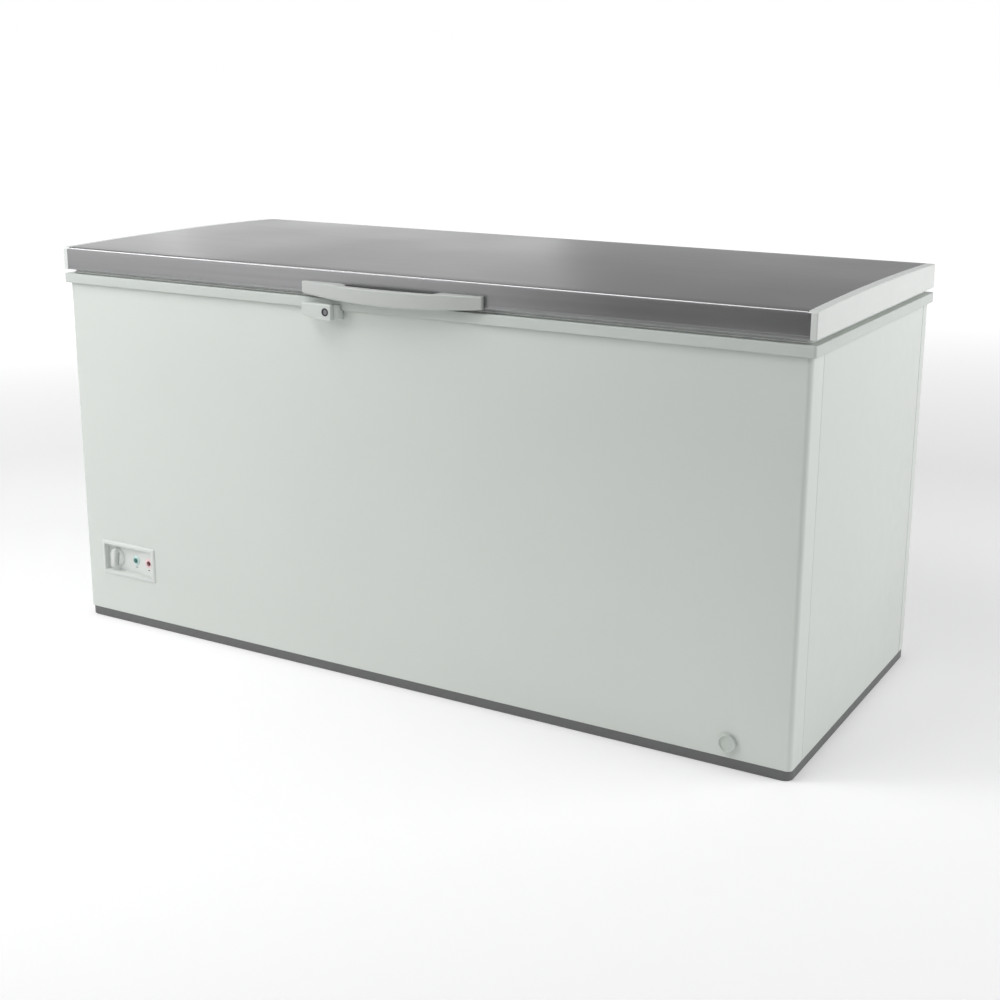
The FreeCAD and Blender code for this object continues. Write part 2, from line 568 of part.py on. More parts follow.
def compressor():
    """Welded can on a stamped plate, four rubber mounts, bolts and the terminal cover."""
    half = "compressor_high / 2"
    profile = [("0", "0"), ("compressor_radius - can_dome", "0"), ("compressor_radius", "can_dome"),
               ("compressor_radius", f"{half} - 3"), ("compressor_radius + 5", f"{half} - 3"),
               ("compressor_radius + 5", f"{half} + 3"), ("compressor_radius", f"{half} + 3"),
               ("compressor_radius", "compressor_high - 40"),
               ("compressor_radius - can_dome", "compressor_high - can_dome + 2"),
               ("compressor_radius - 44", "compressor_high"), ("0", "compressor_high")]
    can = turned("compressor_can", profile, "compressor_x", "compressor_y",
                 "plinth_top + mount_high + mount_plate + panel_gap")
    coil, thin = mm("coil_radius"), mm("condenser_radius")
    sockets = [rod(f"line_socket_{i}", "z", (f"compressor_x {dx}", "compressor_y + 20"), radius,
                   ("140", "210"))
               for i, (dx, radius) in enumerate([("- 50", f"{coil - 1 + 0.1}"),
                                                 ("+ 50", f"{thin + 0.1}")])]
    part(without("compressor", can, *sockets))

    spots = [(f"compressor_x {a} mount_across", f"compressor_y {b} mount_along")
             for a in "+-" for b in "+-"]
    across, along = "(mount_across + mount_rim)", "(mount_along + mount_rim - 2)"
    seat, top = "plinth_top + mount_high", "plinth_top + mount_high + mount_plate"
    plate = block("mount_stamping", (f"compressor_x - {across}", f"compressor_x + {across}"),
                  (f"compressor_y - {along}", f"compressor_y + {along}"), (seat, top))
    bores = [rod(f"mount_bore_{i}", "z", spot, "5", (f"{seat} - 1", f"{top} + 1"))
             for i, spot in enumerate(spots)]
    part(without("compressor_plate", plate, *bores))
    mounts = []
    bolts = []
    for i, spot in enumerate(spots):
        pad = rod(f"mount_pad_{i}", "z", spot, "mount_radius", ("plinth_top + gauge", seat))
        hole = rod(f"mount_pad_hole_{i}", "z", spot, "3.3", ("plinth_top", f"{seat} + 1"))
        mounts.append(without(f"mount_{i}", pad, hole))
        shank = rod(f"mount_shank_{i}", "z", spot, "3", ("plinth_top + gauge", f"{top} + 1"))
        head = rod(f"mount_washer_{i}", "z", spot, "8.5", (top, f"{top} + mount_plate"))
        bolts.append(joined(f"mount_bolt_{i}", shank, head))
    part(joined("compressor_mounts", *mounts))
    part(joined("compressor_bolts", *bolts))
    box = block("terminal_block", ("compressor_x - 34", "compressor_x + 34"),
                ("compressor_y - 118", "compressor_y - 60"), ("plinth_top + 48", "plinth_top + 108"))
    relief = rod("terminal_relief", "z", ("compressor_x", "compressor_y"),
                 "compressor_radius + 5.4", ("0", "300"))
    part(without("terminal_cover", rounded("terminal_soft", box, 6, upright), relief))


# ---------------------------------------------------------------- rim frame

def ring(name, inset_out, inset_in, z, radius=None):
    """A rectangular ring. Insets are measured inwards from the outer face of the lid."""
    spans = []
    for inset in (inset_out, inset_in):
        spans.append(((f"-({LID_END}) + {inset}", f"{LID_END} - {inset}"),
                      (f"{LID_FRONT} + {inset}", f"{LID_BACK} - {inset}")))
    outer = block(name + "_outer", *spans[0], z)
    if radius:
        outer = rounded(name + "_rounded", outer, radius, upright)
    hole = block(name + "_hole", *spans[1], (f"{z[0]} - 1", f"{z[1]} + 1"))
    return without(name, outer, hole)


def rim_frame():
    """Moulded frame over the top of the walls: a flat top, an outer skirt and an inner lip."""
    out = "rim_overhang"
    body = rounded("rim_soft", block(
        "rim_block", (f"{LEFT} - {out}", f"{RIGHT} + {out}"), (f"{FRONT} - {out}", f"{BACK} + {out}"),
        ("rim_low", "rim_top")), "rim_corner", upright)
    soft = rounded("rim_edges", body, "rim_edge",
                   lambda b: b.ZLength < 0.01 and b.Center.z > mm("rim_top") - 0.01)
    grow, fit = f"{out} - rim_thick", "panel_gap"
    inner = f"({fit} + rim_thick + 0.5)"
    hollow = block("rim_hollow", (f"{LEFT} - ({grow})", f"{RIGHT} + {grow}"),
                   (f"{FRONT} - ({grow})", f"{BACK} + {grow}"), ("rim_low - 1", "rim_top - rim_thick"))
    shell = without("rim_shell", soft, hollow)
    lip_wide = ((f"{TUB_LEFT} + {fit}", f"{TUB_RIGHT} - {fit}"),
                (f"{TUB_FRONT} + {fit}", f"{TUB_BACK} - {fit}"))
    lip = rounded("rim_lip_soft", block("rim_lip_block", *lip_wide,
                                        ("rim_top - rim_lip", "rim_top - 1")), "tub_corner", upright)
    mouth = rounded("rim_mouth", block(
        "rim_mouth_block", (f"{TUB_LEFT} + {inner}", f"{TUB_RIGHT} - {inner}"),
        (f"{TUB_FRONT} + {inner}", f"{TUB_BACK} - {inner}"), ("rim_low - 20", "rim_top + 1")),
        mm("tub_corner") - 3, upright)
    part(without("rim_frame", joined("rim_solid", shell, lip), mouth))


# ---------------------------------------------------------------- lid

def lid_form(name, x, inset, low, drop):
    """The lid's crowned block with softened long edges, taken in by inset and drop."""
    half = "(cabinet_depth / 2 + lid_overhang)"
    arc = f"({half}^2 + crown^2) / (2 * crown)"
    slab = block(name + "_slab", x, (f"{LID_FRONT} + {inset}", f"{LID_BACK} - {inset}"),
                 (low, "lid_edge + crown + 2"))
    crown = rod(name + "_crown", "x", ("front_y + cabinet_depth / 2",
                                       f"lid_edge + crown - {arc}"),
                f"{arc} - {drop}", (f"({x[0]}) - 1", f"({x[1]}) + 1"))
    form = shared(name + "_form", slab, crown)
    radius = mm("lid_radius") - min(float(inset), 3.5)
    top = mm("lid_edge") - 6
    return rounded(name, form, radius,
                   lambda b: b.XLength > 1 and b.YLength < 0.01 and b.Center.z > top)


def lid_shell():
    half = LID_END
    outer = lid_form("skin_outer", ("-skin_half", "skin_half"), "0", "lid_low", "0")
    inner = lid_form("skin_inner", ("-skin_half - 1", "skin_half + 1"), "0.8",
                     "lid_low + skin_gauge", "0.8")
    hem_hole = block("hem_hole", ("-skin_half - 1", "skin_half + 1"),
                     (f"{LID_FRONT} + hem", f"{LID_BACK} - hem"), ("lid_low - 1", "lid_low + 3"))
    notches = [block(f"skin_notch_{i}", span, (f"{LID_FRONT} - 1", f"{LID_BACK} + 1"),
                     ("cap_step - 0.2", "lid_edge + crown + 2"))
               for i, span in enumerate([("-skin_half - 1", "-cap_inner + 0.2"),
                                         ("cap_inner - 0.2", "skin_half + 1")])]
    bores = [rod(f"leaf_bore_{i}", "y", place, "2.5", (f"{LID_BACK} - 5", f"{LID_BACK} + 2"))
             for i, place in enumerate(leaf_screw_places())]
    part(without("lid_skin", outer, inner, hem_hole, *notches, *bores))

    for side, sign in (("left", "-"), ("right", "")):
        def across(near, far):
            return (f"-({far})", f"-({near})") if sign else (near, far)
        whole = lid_form(f"cap_{side}_form", across("cap_inner", half), "0", "lid_low", "0")
        soft = rounded(f"cap_{side}_soft", whole, 2.5,
                       lambda b: abs(b.Center.x) > mm("skin_half") + 8 and b.XLength < 0.01
                       and b.Center.z > mm("lid_low") + 1)
        below = block(f"cap_{side}_below", across("cap_inner - 1", "skin_half"),
                      (f"{LID_FRONT} - 1", f"{LID_BACK} + 1"), ("lid_low - 1", "cap_step"))
        hollow = lid_form(f"cap_{side}_hollow", across("cap_inner - 2", f"{half} - cap_wall"),
                          "3", "lid_low + cap_wall", "3")
        part(without(f"lid_end_cap_{side}", soft, below, hollow))

    core = lid_form("foam_core", ("-cap_inner + 0.6", "cap_inner - 0.6"), "1.1",
                    "lid_low + skin_gauge + 0.2", "1.1")
    plug = block("foam_plug", tray_span("x", "2"), tray_span("y", "2"),
                 ("tray_low + 2", "lid_low + 5"))
    part(joined("lid_foam", core, rounded("foam_plug_soft", plug, 20, upright)))

    flange = block("liner_flange", (f"-({half}) + seal_inset + seal_width + 2",
                                    f"{half} - seal_inset - seal_width - 2"),
                   (f"{LID_FRONT} + seal_inset + seal_width + 2",
                    f"{LID_BACK} - seal_inset - seal_width - 2"), ("lid_low - 2", "lid_low"))
    tray = block("liner_tray_block", tray_span("x", "0"), tray_span("y", "0"),
                 ("tray_low", "lid_low - 1"))
    low_z = mm("tray_low")
    tray_soft = rounded("liner_tray", rounded("liner_tray_corners", tray, 22, upright), 3,
                        lambda b: b.ZLength < 0.01 and abs(b.Center.z - low_z) < 0.01)
    well = rounded("liner_well", block("liner_well_block", tray_span("x", "1.7"),
                                       tray_span("y", "1.7"), ("tray_low + 1.7", "lid_low + 1")),
                   20, upright)
    part(without("lid_liner", joined("liner_solid", flange, tray_soft), well))
    part(ring("lid_gasket", "seal_inset", "seal_inset + seal_width",
              ("rim_top + 0.3", "lid_low"), 6))


def tray_span(axis, inset):
    """The raised middle of the lid's lining, which fits inside the mouth."""
    if axis == "x":
        return (f"-({LID_END}) + tray_inset + {inset}", f"{LID_END} - tray_inset - {inset}")
    return (f"{LID_FRONT} + tray_inset + {inset}", f"{LID_BACK} - tray_inset - {inset}")


def handle():
    """Bowed grip on two feet, with a pocket in its left foot for the lock's hook and keeper."""
    reach = "(handle_reach - handle_end)"
    bow = f"((handle_half^2 + {reach}^2) / (2 * {reach}))"
    tip = f"({LID_FRONT} - handle_reach)"
    blank = block("handle_blank", ("handle_x - handle_half", "handle_x + handle_half"),
                  (tip, LID_FRONT), ("grip_low", "handle_top"))
    front = rod("handle_bow", "z", ("handle_x", f"{tip} + {bow}"), bow,
                ("grip_low - 1", "handle_top + 1"))
    sag = "((handle_half^2 + grip_rise^2) / (2 * grip_rise))"
    belly = rod("handle_belly", "y", ("handle_x", f"grip_low + {sag}"), sag,
                (f"{tip} - 1", f"{LID_FRONT} + 1"))
    gap_block = block("handle_gap_block", ("handle_x - finger_half", "handle_x + finger_half"),
                      (tip, f"{LID_FRONT} + 1"), ("grip_low - 1", "handle_top + 1"))
    gap_bow = rod("handle_gap_bow", "z", ("handle_x", f"{tip} + {bow}"), f"{bow} - grip_thick",
                  ("grip_low - 2", "handle_top + 2"))
    hook_y = f"({FRONT} - hook_back)"
    slot = block("handle_slot", ("key_x - keeper_left - 1.5", "key_x + hook_reach / 2"),
                 (f"{hook_y} - 4.3", f"{hook_y} + 4.3"), ("grip_low - 1", "key_z + hook_reach + 1.5"))
    form = without("handle_form", shared("handle_bent", blank, front, belly),
                   shared("handle_gap", gap_block, gap_bow), slot)
    edge_z = mm("handle_top")
    end_y = mm("front_y") - mm("lid_overhang") - mm("handle_end")
    part(rounded("lid_handle", form, 2.5, lambda b: abs(b.Center.z - edge_z) < 0.01
                 and b.YLength > 20 and b.YMax < end_y + 0.5))
    low = "key_z + keeper_up"
    plate = block("keeper_plate", ("key_x - keeper_left - 1.3", "key_x + hook_reach / 2 - 0.2"),
                  (f"{hook_y} - 4.1", f"{hook_y} + 4.1"), (low, f"{low} + keeper_thick"))
    mouth = block("keeper_mouth", ("key_x - keeper_left", "key_x + keeper_right"),
                  (f"{hook_y} - 2.5", f"{hook_y} + 2.5"), (f"{low} - 1", f"{low} + 3"))
    part(without("lock_keeper", plate, mouth))


# ---------------------------------------------------------------- lock

def lock():
    """Key lock on the rim: housing, black ring, turning barrel and the hook on the barrel.
    The hook lies in the housing and turns up through the keeper in the handle's foot."""
    outline = [("lock_left", "lock_high"), ("lock_left", "lock_low + 10"),
               ("lock_left + 22", "lock_low + 3"), ("lock_left + 44", "lock_low"),
               ("lock_right", "lock_low"), ("lock_right", "lock_high")]
    face = prism("lock_face", "XZ", outline, (f"{FRONT} - lock_reach",
                                              f"{FRONT} - rim_overhang - 0.3"))
    x_right, front = mm("lock_right"), mm("front_y") - mm("lock_reach")
    soft = rounded("lock_soft", face, 3, lambda b: b.YLength > 10 and (
        abs(b.Center.x - x_right) < 0.01 or abs(b.Center.x - mm("lock_left")) < 0.01))
    edged = rounded("lock_edged", soft, 1.5, lambda b: b.YLength < 0.01
                    and abs(b.Center.y - front) < 0.01)
    heel = block("lock_heel", ("lock_left + 5", "lock_right + 10"),
                 (f"{FRONT} - rim_overhang - 6", f"{FRONT} - 0.3"), ("lock_low + 1", "rim_low - 0.4"))
    collar = rounded("lock_collar", block("lock_collar_block", ("key_x", "lock_right + 10"),
                                          (f"{FRONT} - rim_overhang - 12",
                                           f"{FRONT} - rim_overhang - 0.3"),
                                          ("lock_low + 2", "lock_high - 1")), 6,
                     lambda b: upright(b) and b.Center.x > x_right and b.Center.y < front + 15)
    bore = rod("key_bore", "y", ("key_x", "key_z"), "key_radius + 0.05",
               (f"{FRONT} - lock_reach - 1", f"{FRONT} - 11"))
    hook_y = (f"{FRONT} - hook_back - hook_thick / 2", f"{FRONT} - hook_back + hook_thick / 2")
    slot = block("hook_slot", ("key_x - hook_reach - 1", "key_x + hook_hub + 1"),
                 (f"{hook_y[0]} - 0.3", f"{hook_y[1]} + 0.3"),
                 ("key_z - hook_hub - 1", "lock_high + 1"))
    part(without("lock_housing", joined("lock_solid", edged, heel, collar), bore, slot))
    tip = f"{FRONT} - lock_reach"
    part(without("lock_ring", rod("ring_disc", "y", ("key_x", "key_z"), "key_radius + 1.6",
                                  (f"{tip} - 1", tip)),
                 rod("ring_hole", "y", ("key_x", "key_z"), "key_radius + 0.3",
                     (f"{tip} - 2", f"{tip} + 1"))))
    barrel = rod("barrel_rod", "y", ("key_x", "key_z"), "key_radius", (f"{tip} - 0.6",
                                                                      f"{FRONT} - 11.4"))
    keyway = block("keyway", ("key_x - 0.8", "key_x + 0.8"), (f"{tip} - 2", f"{tip} + 8"),
                   ("key_z - 3.6", "key_z + 3.6"))
    part(without("lock_barrel", barrel, keyway))

    pivot = ("key_x", "key_z")
    disc = rod("hook_disc", "y", pivot, "hook_reach", hook_y)
    arm = block("hook_arm_bar", ("key_x - hook_reach", "key_x"), hook_y,
                ("key_z - hook_arm / 2", "key_z + hook_arm / 2"))
    wedge = prism("hook_wedge", "XZ", [
        ("key_x", "key_z"), ("key_x - hook_reach", "key_z + hook_reach * tan(hook_nose * 1 deg)"),
        ("key_x - hook_reach", "key_z")], hook_y)
    throat = rod("hook_throat_disc", "y", pivot, "hook_throat",
                 (f"{hook_y[0]} - 1", f"{hook_y[1]} + 1"))
    nose = without("hook_nose_ring", wedge, throat)
    hub = rod("hook_hub_disc", "y", pivot, "hook_hub", hook_y)
    eye = rod("hook_eye", "y", pivot, "key_radius", (f"{hook_y[0]} - 1", f"{hook_y[1]} + 1"))
    blade = shared("hook_blade", disc, joined("hook_outline", arm, nose))
    part(without("lock_hook", joined("hook_solid", blade, hub), eye))


# ---------------------------------------------------------------- hinges

def leaf_screw_places():
    return [(f"{side}hinge_x {off} leaf_screw_off", "lid_low + leaf_screw_up")
            for side in ("-", "") for off in "-+"]


def hinge(side, x):
    """Counterbalanced hinge: bracket, pin, spring and plunger behind the cabinet, leaf on the lid."""
    plate_x = (f"{x} - bracket_width / 2", f"{x} + bracket_width / 2")
    web_y = (f"{PIVOT_Y} + web_back", f"{PIVOT_Y} + web_back + bracket_gauge")
    plate = block(f"{side}_bracket_plate", plate_x, (BACK, f"{BACK} + bracket_gauge"),
                  ("bracket_low", "rim_low - bracket_gauge"))
    web = block(f"{side}_bracket_web", plate_x, web_y, ("bracket_low", "pivot_z - web_back"))
    foot = block(f"{side}_bracket_foot", plate_x, (BACK, web_y[1]),
                 ("bracket_low", "bracket_low + bracket_gauge"))
    side_shape = [(BACK, "bracket_low"), (web_y[1], "bracket_low"),
                  (web_y[1], "pivot_z - web_back"), (f"{PIVOT_Y} + 10", "pivot_z + 8"),
                  (f"{PIVOT_Y} - 12", "pivot_z + 8"), (f"{BACK} + rim_overhang + 1", "rim_low + 8"),
                  (f"{BACK} + rim_overhang + 1", "rim_low - bracket_gauge"),
                  (BACK, "rim_low - bracket_gauge")]
    cheeks = [prism(f"{side}_cheek_{i}", "YZ", side_shape, span)
              for i, span in enumerate([(plate_x[0], f"{plate_x[0]} + bracket_gauge"),
                                        (f"{plate_x[1]} - bracket_gauge", plate_x[1])])]
    pin_hole = rod(f"{side}_pin_hole", "x", (PIVOT_Y, "pivot_z"), "pin_radius + 0.05",
                   (f"{plate_x[0]} - 1", f"{plate_x[1]} + 1"))
    sign = "-" if x.startswith("-") else ""
    screw_places = [p for p in bracket_screw_places() if p[0].startswith(f"{sign}hinge_x")]
    bores = [rod(f"{side}_plate_bore_{i}", "y", place, "screw_hole",
                 (f"{BACK} - 1", f"{BACK} + bracket_gauge + 1"))
             for i, place in enumerate(screw_places)]
    body = joined(f"{side}_bracket_body", plate, web, foot, *cheeks)
    bracket = without(f"hinge_bracket_{side}", body, pin_hole, *bores)
    shaft = rod(f"{side}_pin_shaft", "x", (PIVOT_Y, "pivot_z"), "pin_radius",
                (f"{plate_x[0]} - 1.5", f"{plate_x[1]} + 1.5"))
    heads = [rod(f"{side}_pin_head_{i}", "x", (PIVOT_Y, "pivot_z"), "pin_radius + 2", span)
             for i, span in enumerate([(f"{plate_x[0]} - 2.5", plate_x[0]),
                                       (plate_x[1], f"{plate_x[1]} + 2.5")])]
    pin = joined(f"hinge_pin_{side}", shaft, *heads)

    toe_y = f"({PIVOT_Y} - crank * cos(crank_angle * 1 deg))"
    toe_z = "(pivot_z - crank * sin(crank_angle * 1 deg))"
    low, high = "lid_low + leaf_low", "lid_low + leaf_high"
    arm_shape = [(LID_BACK, low), (f"{LID_BACK} + 2.5", low),
                 (f"{PIVOT_Y} - 8", "pivot_z + 3"), (f"{toe_y} - 4.5", f"{toe_z} + 1"),
                 (f"{toe_y} - 2", f"{toe_z} - 4.5"), (f"{toe_y} + 4", f"{toe_z} - 4.5"),
                 (f"{PIVOT_Y} + 4", "pivot_z - 9"), (f"{PIVOT_Y} + 9", "pivot_z - 3"),
                 (f"{PIVOT_Y} + 9", "pivot_z + 4"), (f"{LID_BACK} + 12", high), (LID_BACK, high)]
    arms = [prism(f"{side}_arm_{i}", "YZ", arm_shape, span)
            for i, span in enumerate([(f"{x} - arm_outer", f"{x} - arm_inner"),
                                      (f"{x} + arm_inner", f"{x} + arm_outer")])]
    leaf = block(f"{side}_leaf_plate", (f"{x} - leaf_half", f"{x} + leaf_half"),
                 (LID_BACK, f"{LID_BACK} + bracket_gauge"), (low, high))
    roller = rod(f"{side}_roller", "x", (toe_y, toe_z), "roller_radius",
                 (f"{x} - arm_outer + 1", f"{x} + arm_outer - 1"))
    running = rod(f"{side}_running_bore", "x", (PIVOT_Y, "pivot_z"), "pin_radius + 0.05",
                  (f"{x} - leaf_half - 1", f"{x} + leaf_half + 1"))
    leaf_bores = [rod(f"{side}_leaf_bore_{i}", "y", place, "screw_hole",
                      (f"{LID_BACK} - 1", f"{LID_BACK} + bracket_gauge + 1"))
                  for i, place in enumerate(leaf_screw_places())
                  if place[0].startswith(f"{sign}hinge_x")]
    part(without(f"hinge_leaf_{side}", joined(f"{side}_leaf_body", leaf, *arms, roller), running,
                 *leaf_bores))

    plunger_top = f"{toe_z} - roller_radius - plunger_gap"
    cap = block(f"{side}_plunger_cap", (f"{x} - plunger_half", f"{x} + plunger_half"),
                (f"{BACK} + rim_overhang + 0.6", f"{PIVOT_Y} - pin_radius - 0.5"),
                (f"{plunger_top} - plunger_high", plunger_top))
    stem = rod(f"{side}_plunger_stem", "z", (x, f"{PIVOT_Y} - spring_forward"),
               "spring_radius - 2",
               (f"{plunger_top} - plunger_high - 20", f"{plunger_top} - plunger_high + 1"))
    part(joined(f"hinge_plunger_{side}", cap, stem))

    pivot_y = mm("front_y") + mm("cabinet_depth") + mm("pivot_back")
    drop = mm("crank") * math.sin(math.radians(mm("crank_angle")))
    top = mm("pivot_z") - drop - mm("roller_radius") - mm("plunger_gap") - mm("plunger_high")
    low = mm("bracket_low") + mm("bracket_gauge")
    wire, play = mm("spring_wire"), 0.1
    rise = top - low - 2 * (wire + play)
    helix = Part.makeHelix(rise / mm("spring_coils"), rise, mm("spring_radius"))
    start = FreeCAD.Vector(mm("spring_radius"), 0, 0)
    section = Part.Wire([Part.makeCircle(wire, start, FreeCAD.Vector(0, 1, 0))])
    spring = shaped(f"hinge_spring_{side}", Part.Wire(helix).makePipeShell([section], True, True))
    centre = mm("hinge_x") * (-1 if sign else 1)
    spring.Placement.Base = FreeCAD.Vector(centre, pivot_y - mm("spring_forward"), low + wire + play)
    part(spring)
    return bracket, pin


def hinges(cover_screws):
    fixed = [hinge(side, x) for side, x in (("left", "-hinge_x"), ("right", "hinge_x"))]
    part(joined("hinge_brackets", *[bracket for bracket, _ in fixed]))
    part(joined("hinge_pins", *[pin for _, pin in fixed]))
    cabinet_screws = [button_screw(f"bracket_screw_{i}", x, z, f"{BACK} + bracket_gauge", "3 * gauge")
                      for i, (x, z) in enumerate(bracket_screw_places())]
    part(joined("cabinet_screws", *cabinet_screws, *cover_screws))
    lid_screws = [button_screw(f"leaf_screw_{i}", x, z, f"{LID_BACK} + bracket_gauge",
                               "bracket_gauge + skin_gauge")
                  for i, (x, z) in enumerate(leaf_screw_places())]
    part(joined("lid_screws", *lid_screws))


# ---------------------------------------------------------------- controls

def controls():
    """Recessed control panel: bezel, thermostat with its knob, and two lamps."""
    x = ("panel_x - panel_wide / 2", "panel_x + panel_wide / 2")
    z = ("panel_z - panel_high / 2", "panel_z + panel_high / 2")
    flange = rounded("bezel_flange", block("bezel_plate", x, (f"{FRONT} - bezel_proud", FRONT), z),
                     4, lambda b: b.YLength > 1 and b.XLength < 0.01 and b.ZLength < 0.01)
    cup = block("bezel_cup", (f"{x[0]} + cup_fit", f"{x[1]} - cup_fit"),
                (FRONT, f"{FRONT} + cup_deep"), (f"{z[0]} + cup_fit", f"{z[1]} - cup_fit"))
    ahead, bottom = f"{FRONT} - bezel_proud - 1", f"{FRONT} + recess_deep"
    left, right = f"{x[0]} + 8", f"{x[1]} - 11"
    outline = [(left, ahead), (right, ahead), (right, f"{FRONT} + 2"),
               ("knob_x + knob_radius + grip_half", bottom), (left, bottom)]
    recess = prism("bezel_recess", "XY", outline, (f"{z[0]} + recess_deep", f"{z[1]} - recess_deep"))
    through = (ahead, f"{FRONT} + cup_deep + 1")
    at_knob, lamp_z = ("knob_x", "panel_z"), "panel_z + lamp_up"
    shaft = rod("bezel_shaft_hole", "y", at_knob, "shaft_radius + 0.5", through)
    lamp_holes = [rod(f"lamp_hole_{i}", "y", (lamp_x, lamp_z), "lamp_radius + 0.2", through)
                  for i, lamp_x in enumerate(("green_x", "red_x"))]
    part(without("control_bezel", joined("bezel_solid", flange, cup), recess, shaft, *lamp_holes))
    for name, lamp_x, proud in (("lamp_green", "green_x", 1.5), ("lamp_red", "red_x", 0.5)):
        part(rounded(name, rod(name + "_rod", "y", (lamp_x, lamp_z), "lamp_radius",
                               (f"{FRONT} + {proud} - 0.6", f"{FRONT} + lamp_long")), 2.5,
                     lambda b: b.YLength < 0.01 and b.Center.y < mm("front_y") + 3))
    stat = block("thermostat_box", ("knob_x - stat_half", "knob_x + stat_half"),
                 (f"{FRONT} + cup_deep", f"{FRONT} + stat_back"),
                 ("panel_z - stat_high", "panel_z + stat_high"))
    neck = rod("thermostat_neck", "y", at_knob, "stat_neck",
               (f"{FRONT} + stat_back - 1", f"{FRONT} + stat_neck_back"))
    shaft_end = f"{FRONT} + 2 * cup_deep + 8"
    bore = rod("thermostat_bore", "y", at_knob, "shaft_radius + 0.05",
               (f"{FRONT} + cup_deep - 1", f"{shaft_end} + 2"))
    part(without("thermostat", joined("thermostat_body", stat, neck), bore))
    back = f"{FRONT} + recess_deep - 0.4"
    skirt = rod("knob_skirt", "y", at_knob, "knob_radius", (f"{back} - 4.6", back))
    grip = rounded("knob_grip", block("knob_bar", ("knob_x - grip_half", "knob_x + grip_half"),
                                      (f"{FRONT} - grip_half", f"{FRONT} + grip_half"),
                                      ("panel_z - knob_radius + 1", "panel_z + knob_radius - 1")),
                   2, lambda b: b.YMin < mm("front_y") - mm("grip_half") + 0.1)
    stem = rod("knob_stem", "y", at_knob, "shaft_radius", (f"{back} - 0.6", shaft_end))
    part(joined("thermostat_knob", skirt, grip, stem))


# ---------------------------------------------------------------- drain

def drain():
    """Drain tube through the front wall, its collar and screw cap, and the plug in the tub."""
    bore, tube = mm("drain_bore"), mm("drain_bore") + mm("drain_wall")
    part(shaped("drain_tube", bent_tube(drain_route(), tube, 24, bore)))
    at = ("drain_x", "drain_z")
    disc = rod("collar_disc", "y", at, "drain_radius", (f"{FRONT} - collar_proud", FRONT))
    hole = rod("collar_bore", "y", at, "drain_bore + drain_wall + 0.1",
               (f"{FRONT} - collar_proud - 1", f"{FRONT} + 1"))
    part(without("collar_body", disc, hole), "drain_collar")
    face = f"{FRONT} - cap_proud"
    plate = rod("cap_plate", "y", at, "drain_radius", (face, f"{FRONT} - collar_proud - panel_gap"))
    dish = rod("cap_dish", "y", at, "drain_radius - 3", (f"{face} - 1", f"{face} + 1.5"))
    grip = block("cap_grip", ("drain_x - 11", "drain_x + 11"), (face, f"{face} + 2"),
                 ("drain_z - 2", "drain_z + 2"))
    stub = rod("cap_stub", "y", at, "drain_bore - plug_fit",
               (f"{FRONT} - collar_proud - 1", f"{FRONT} + 12"))
    part(joined("drain_cap", without("cap_head", plate, dish), grip, stub))
    spot = ("drain_x", "drain_y")
    head = rod("plug_head", "z", spot, "2 * drain_bore", ("tub_floor + panel_gap", "tub_floor + 3.5"))
    stem = rod("plug_stem", "z", spot, "drain_bore - plug_fit", ("tub_floor - 12", "tub_floor + 1"))
    tab = block("plug_tab", ("drain_x - 1.5", "drain_x + 1.5"), ("drain_y - 7", "drain_y + 7"),
                ("tub_floor + 3", "tub_floor + plug_tab_high"))
    part(joined("drain_plug", head, stem, tab))


# ---------------------------------------------------------------- build and write

def build():
    base()
    case_panels()
    vent_grille()
    cover_screws = rear_cover()
    tub()
    cooling_circuit()
    foam()
    compressor()
    rim_frame()
    lid_shell()
    handle()
    lock()
    hinges(cover_screws)
    controls()
    drain()
    doc.recompute()


def write():
    failed = [o.Label for o in doc.Objects if {"Invalid", "Error"} & set(o.State)]
    failed += [name for name, o in parts.items() if o.Shape.isNull() or not o.Shape.isValid()
               or not o.Shape.Solids]
    if failed:
        raise RuntimeError(f"these did not build: {sorted(set(failed))}")
    os.makedirs("parts", exist_ok=True)
    for name, obj in parts.items():
        obj.Shape.exportStep(f"parts/{name}.step")
    print(len(parts), "parts written")


build()
write()
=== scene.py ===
import math

import bmesh
import bpy
from mathutils import Matrix, Vector


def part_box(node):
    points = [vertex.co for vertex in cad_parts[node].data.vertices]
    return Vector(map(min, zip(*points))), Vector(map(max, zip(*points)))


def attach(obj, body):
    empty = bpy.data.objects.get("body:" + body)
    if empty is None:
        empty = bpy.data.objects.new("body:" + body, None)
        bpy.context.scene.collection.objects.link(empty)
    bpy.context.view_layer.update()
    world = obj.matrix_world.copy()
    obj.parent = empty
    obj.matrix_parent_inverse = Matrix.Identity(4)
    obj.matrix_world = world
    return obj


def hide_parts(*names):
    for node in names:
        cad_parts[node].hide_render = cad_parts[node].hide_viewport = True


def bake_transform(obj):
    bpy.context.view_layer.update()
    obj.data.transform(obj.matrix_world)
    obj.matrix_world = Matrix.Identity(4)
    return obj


# A chest freezer with a stainless lid. Metres, +Z up, -Y towards the viewer's side, +X to the right.

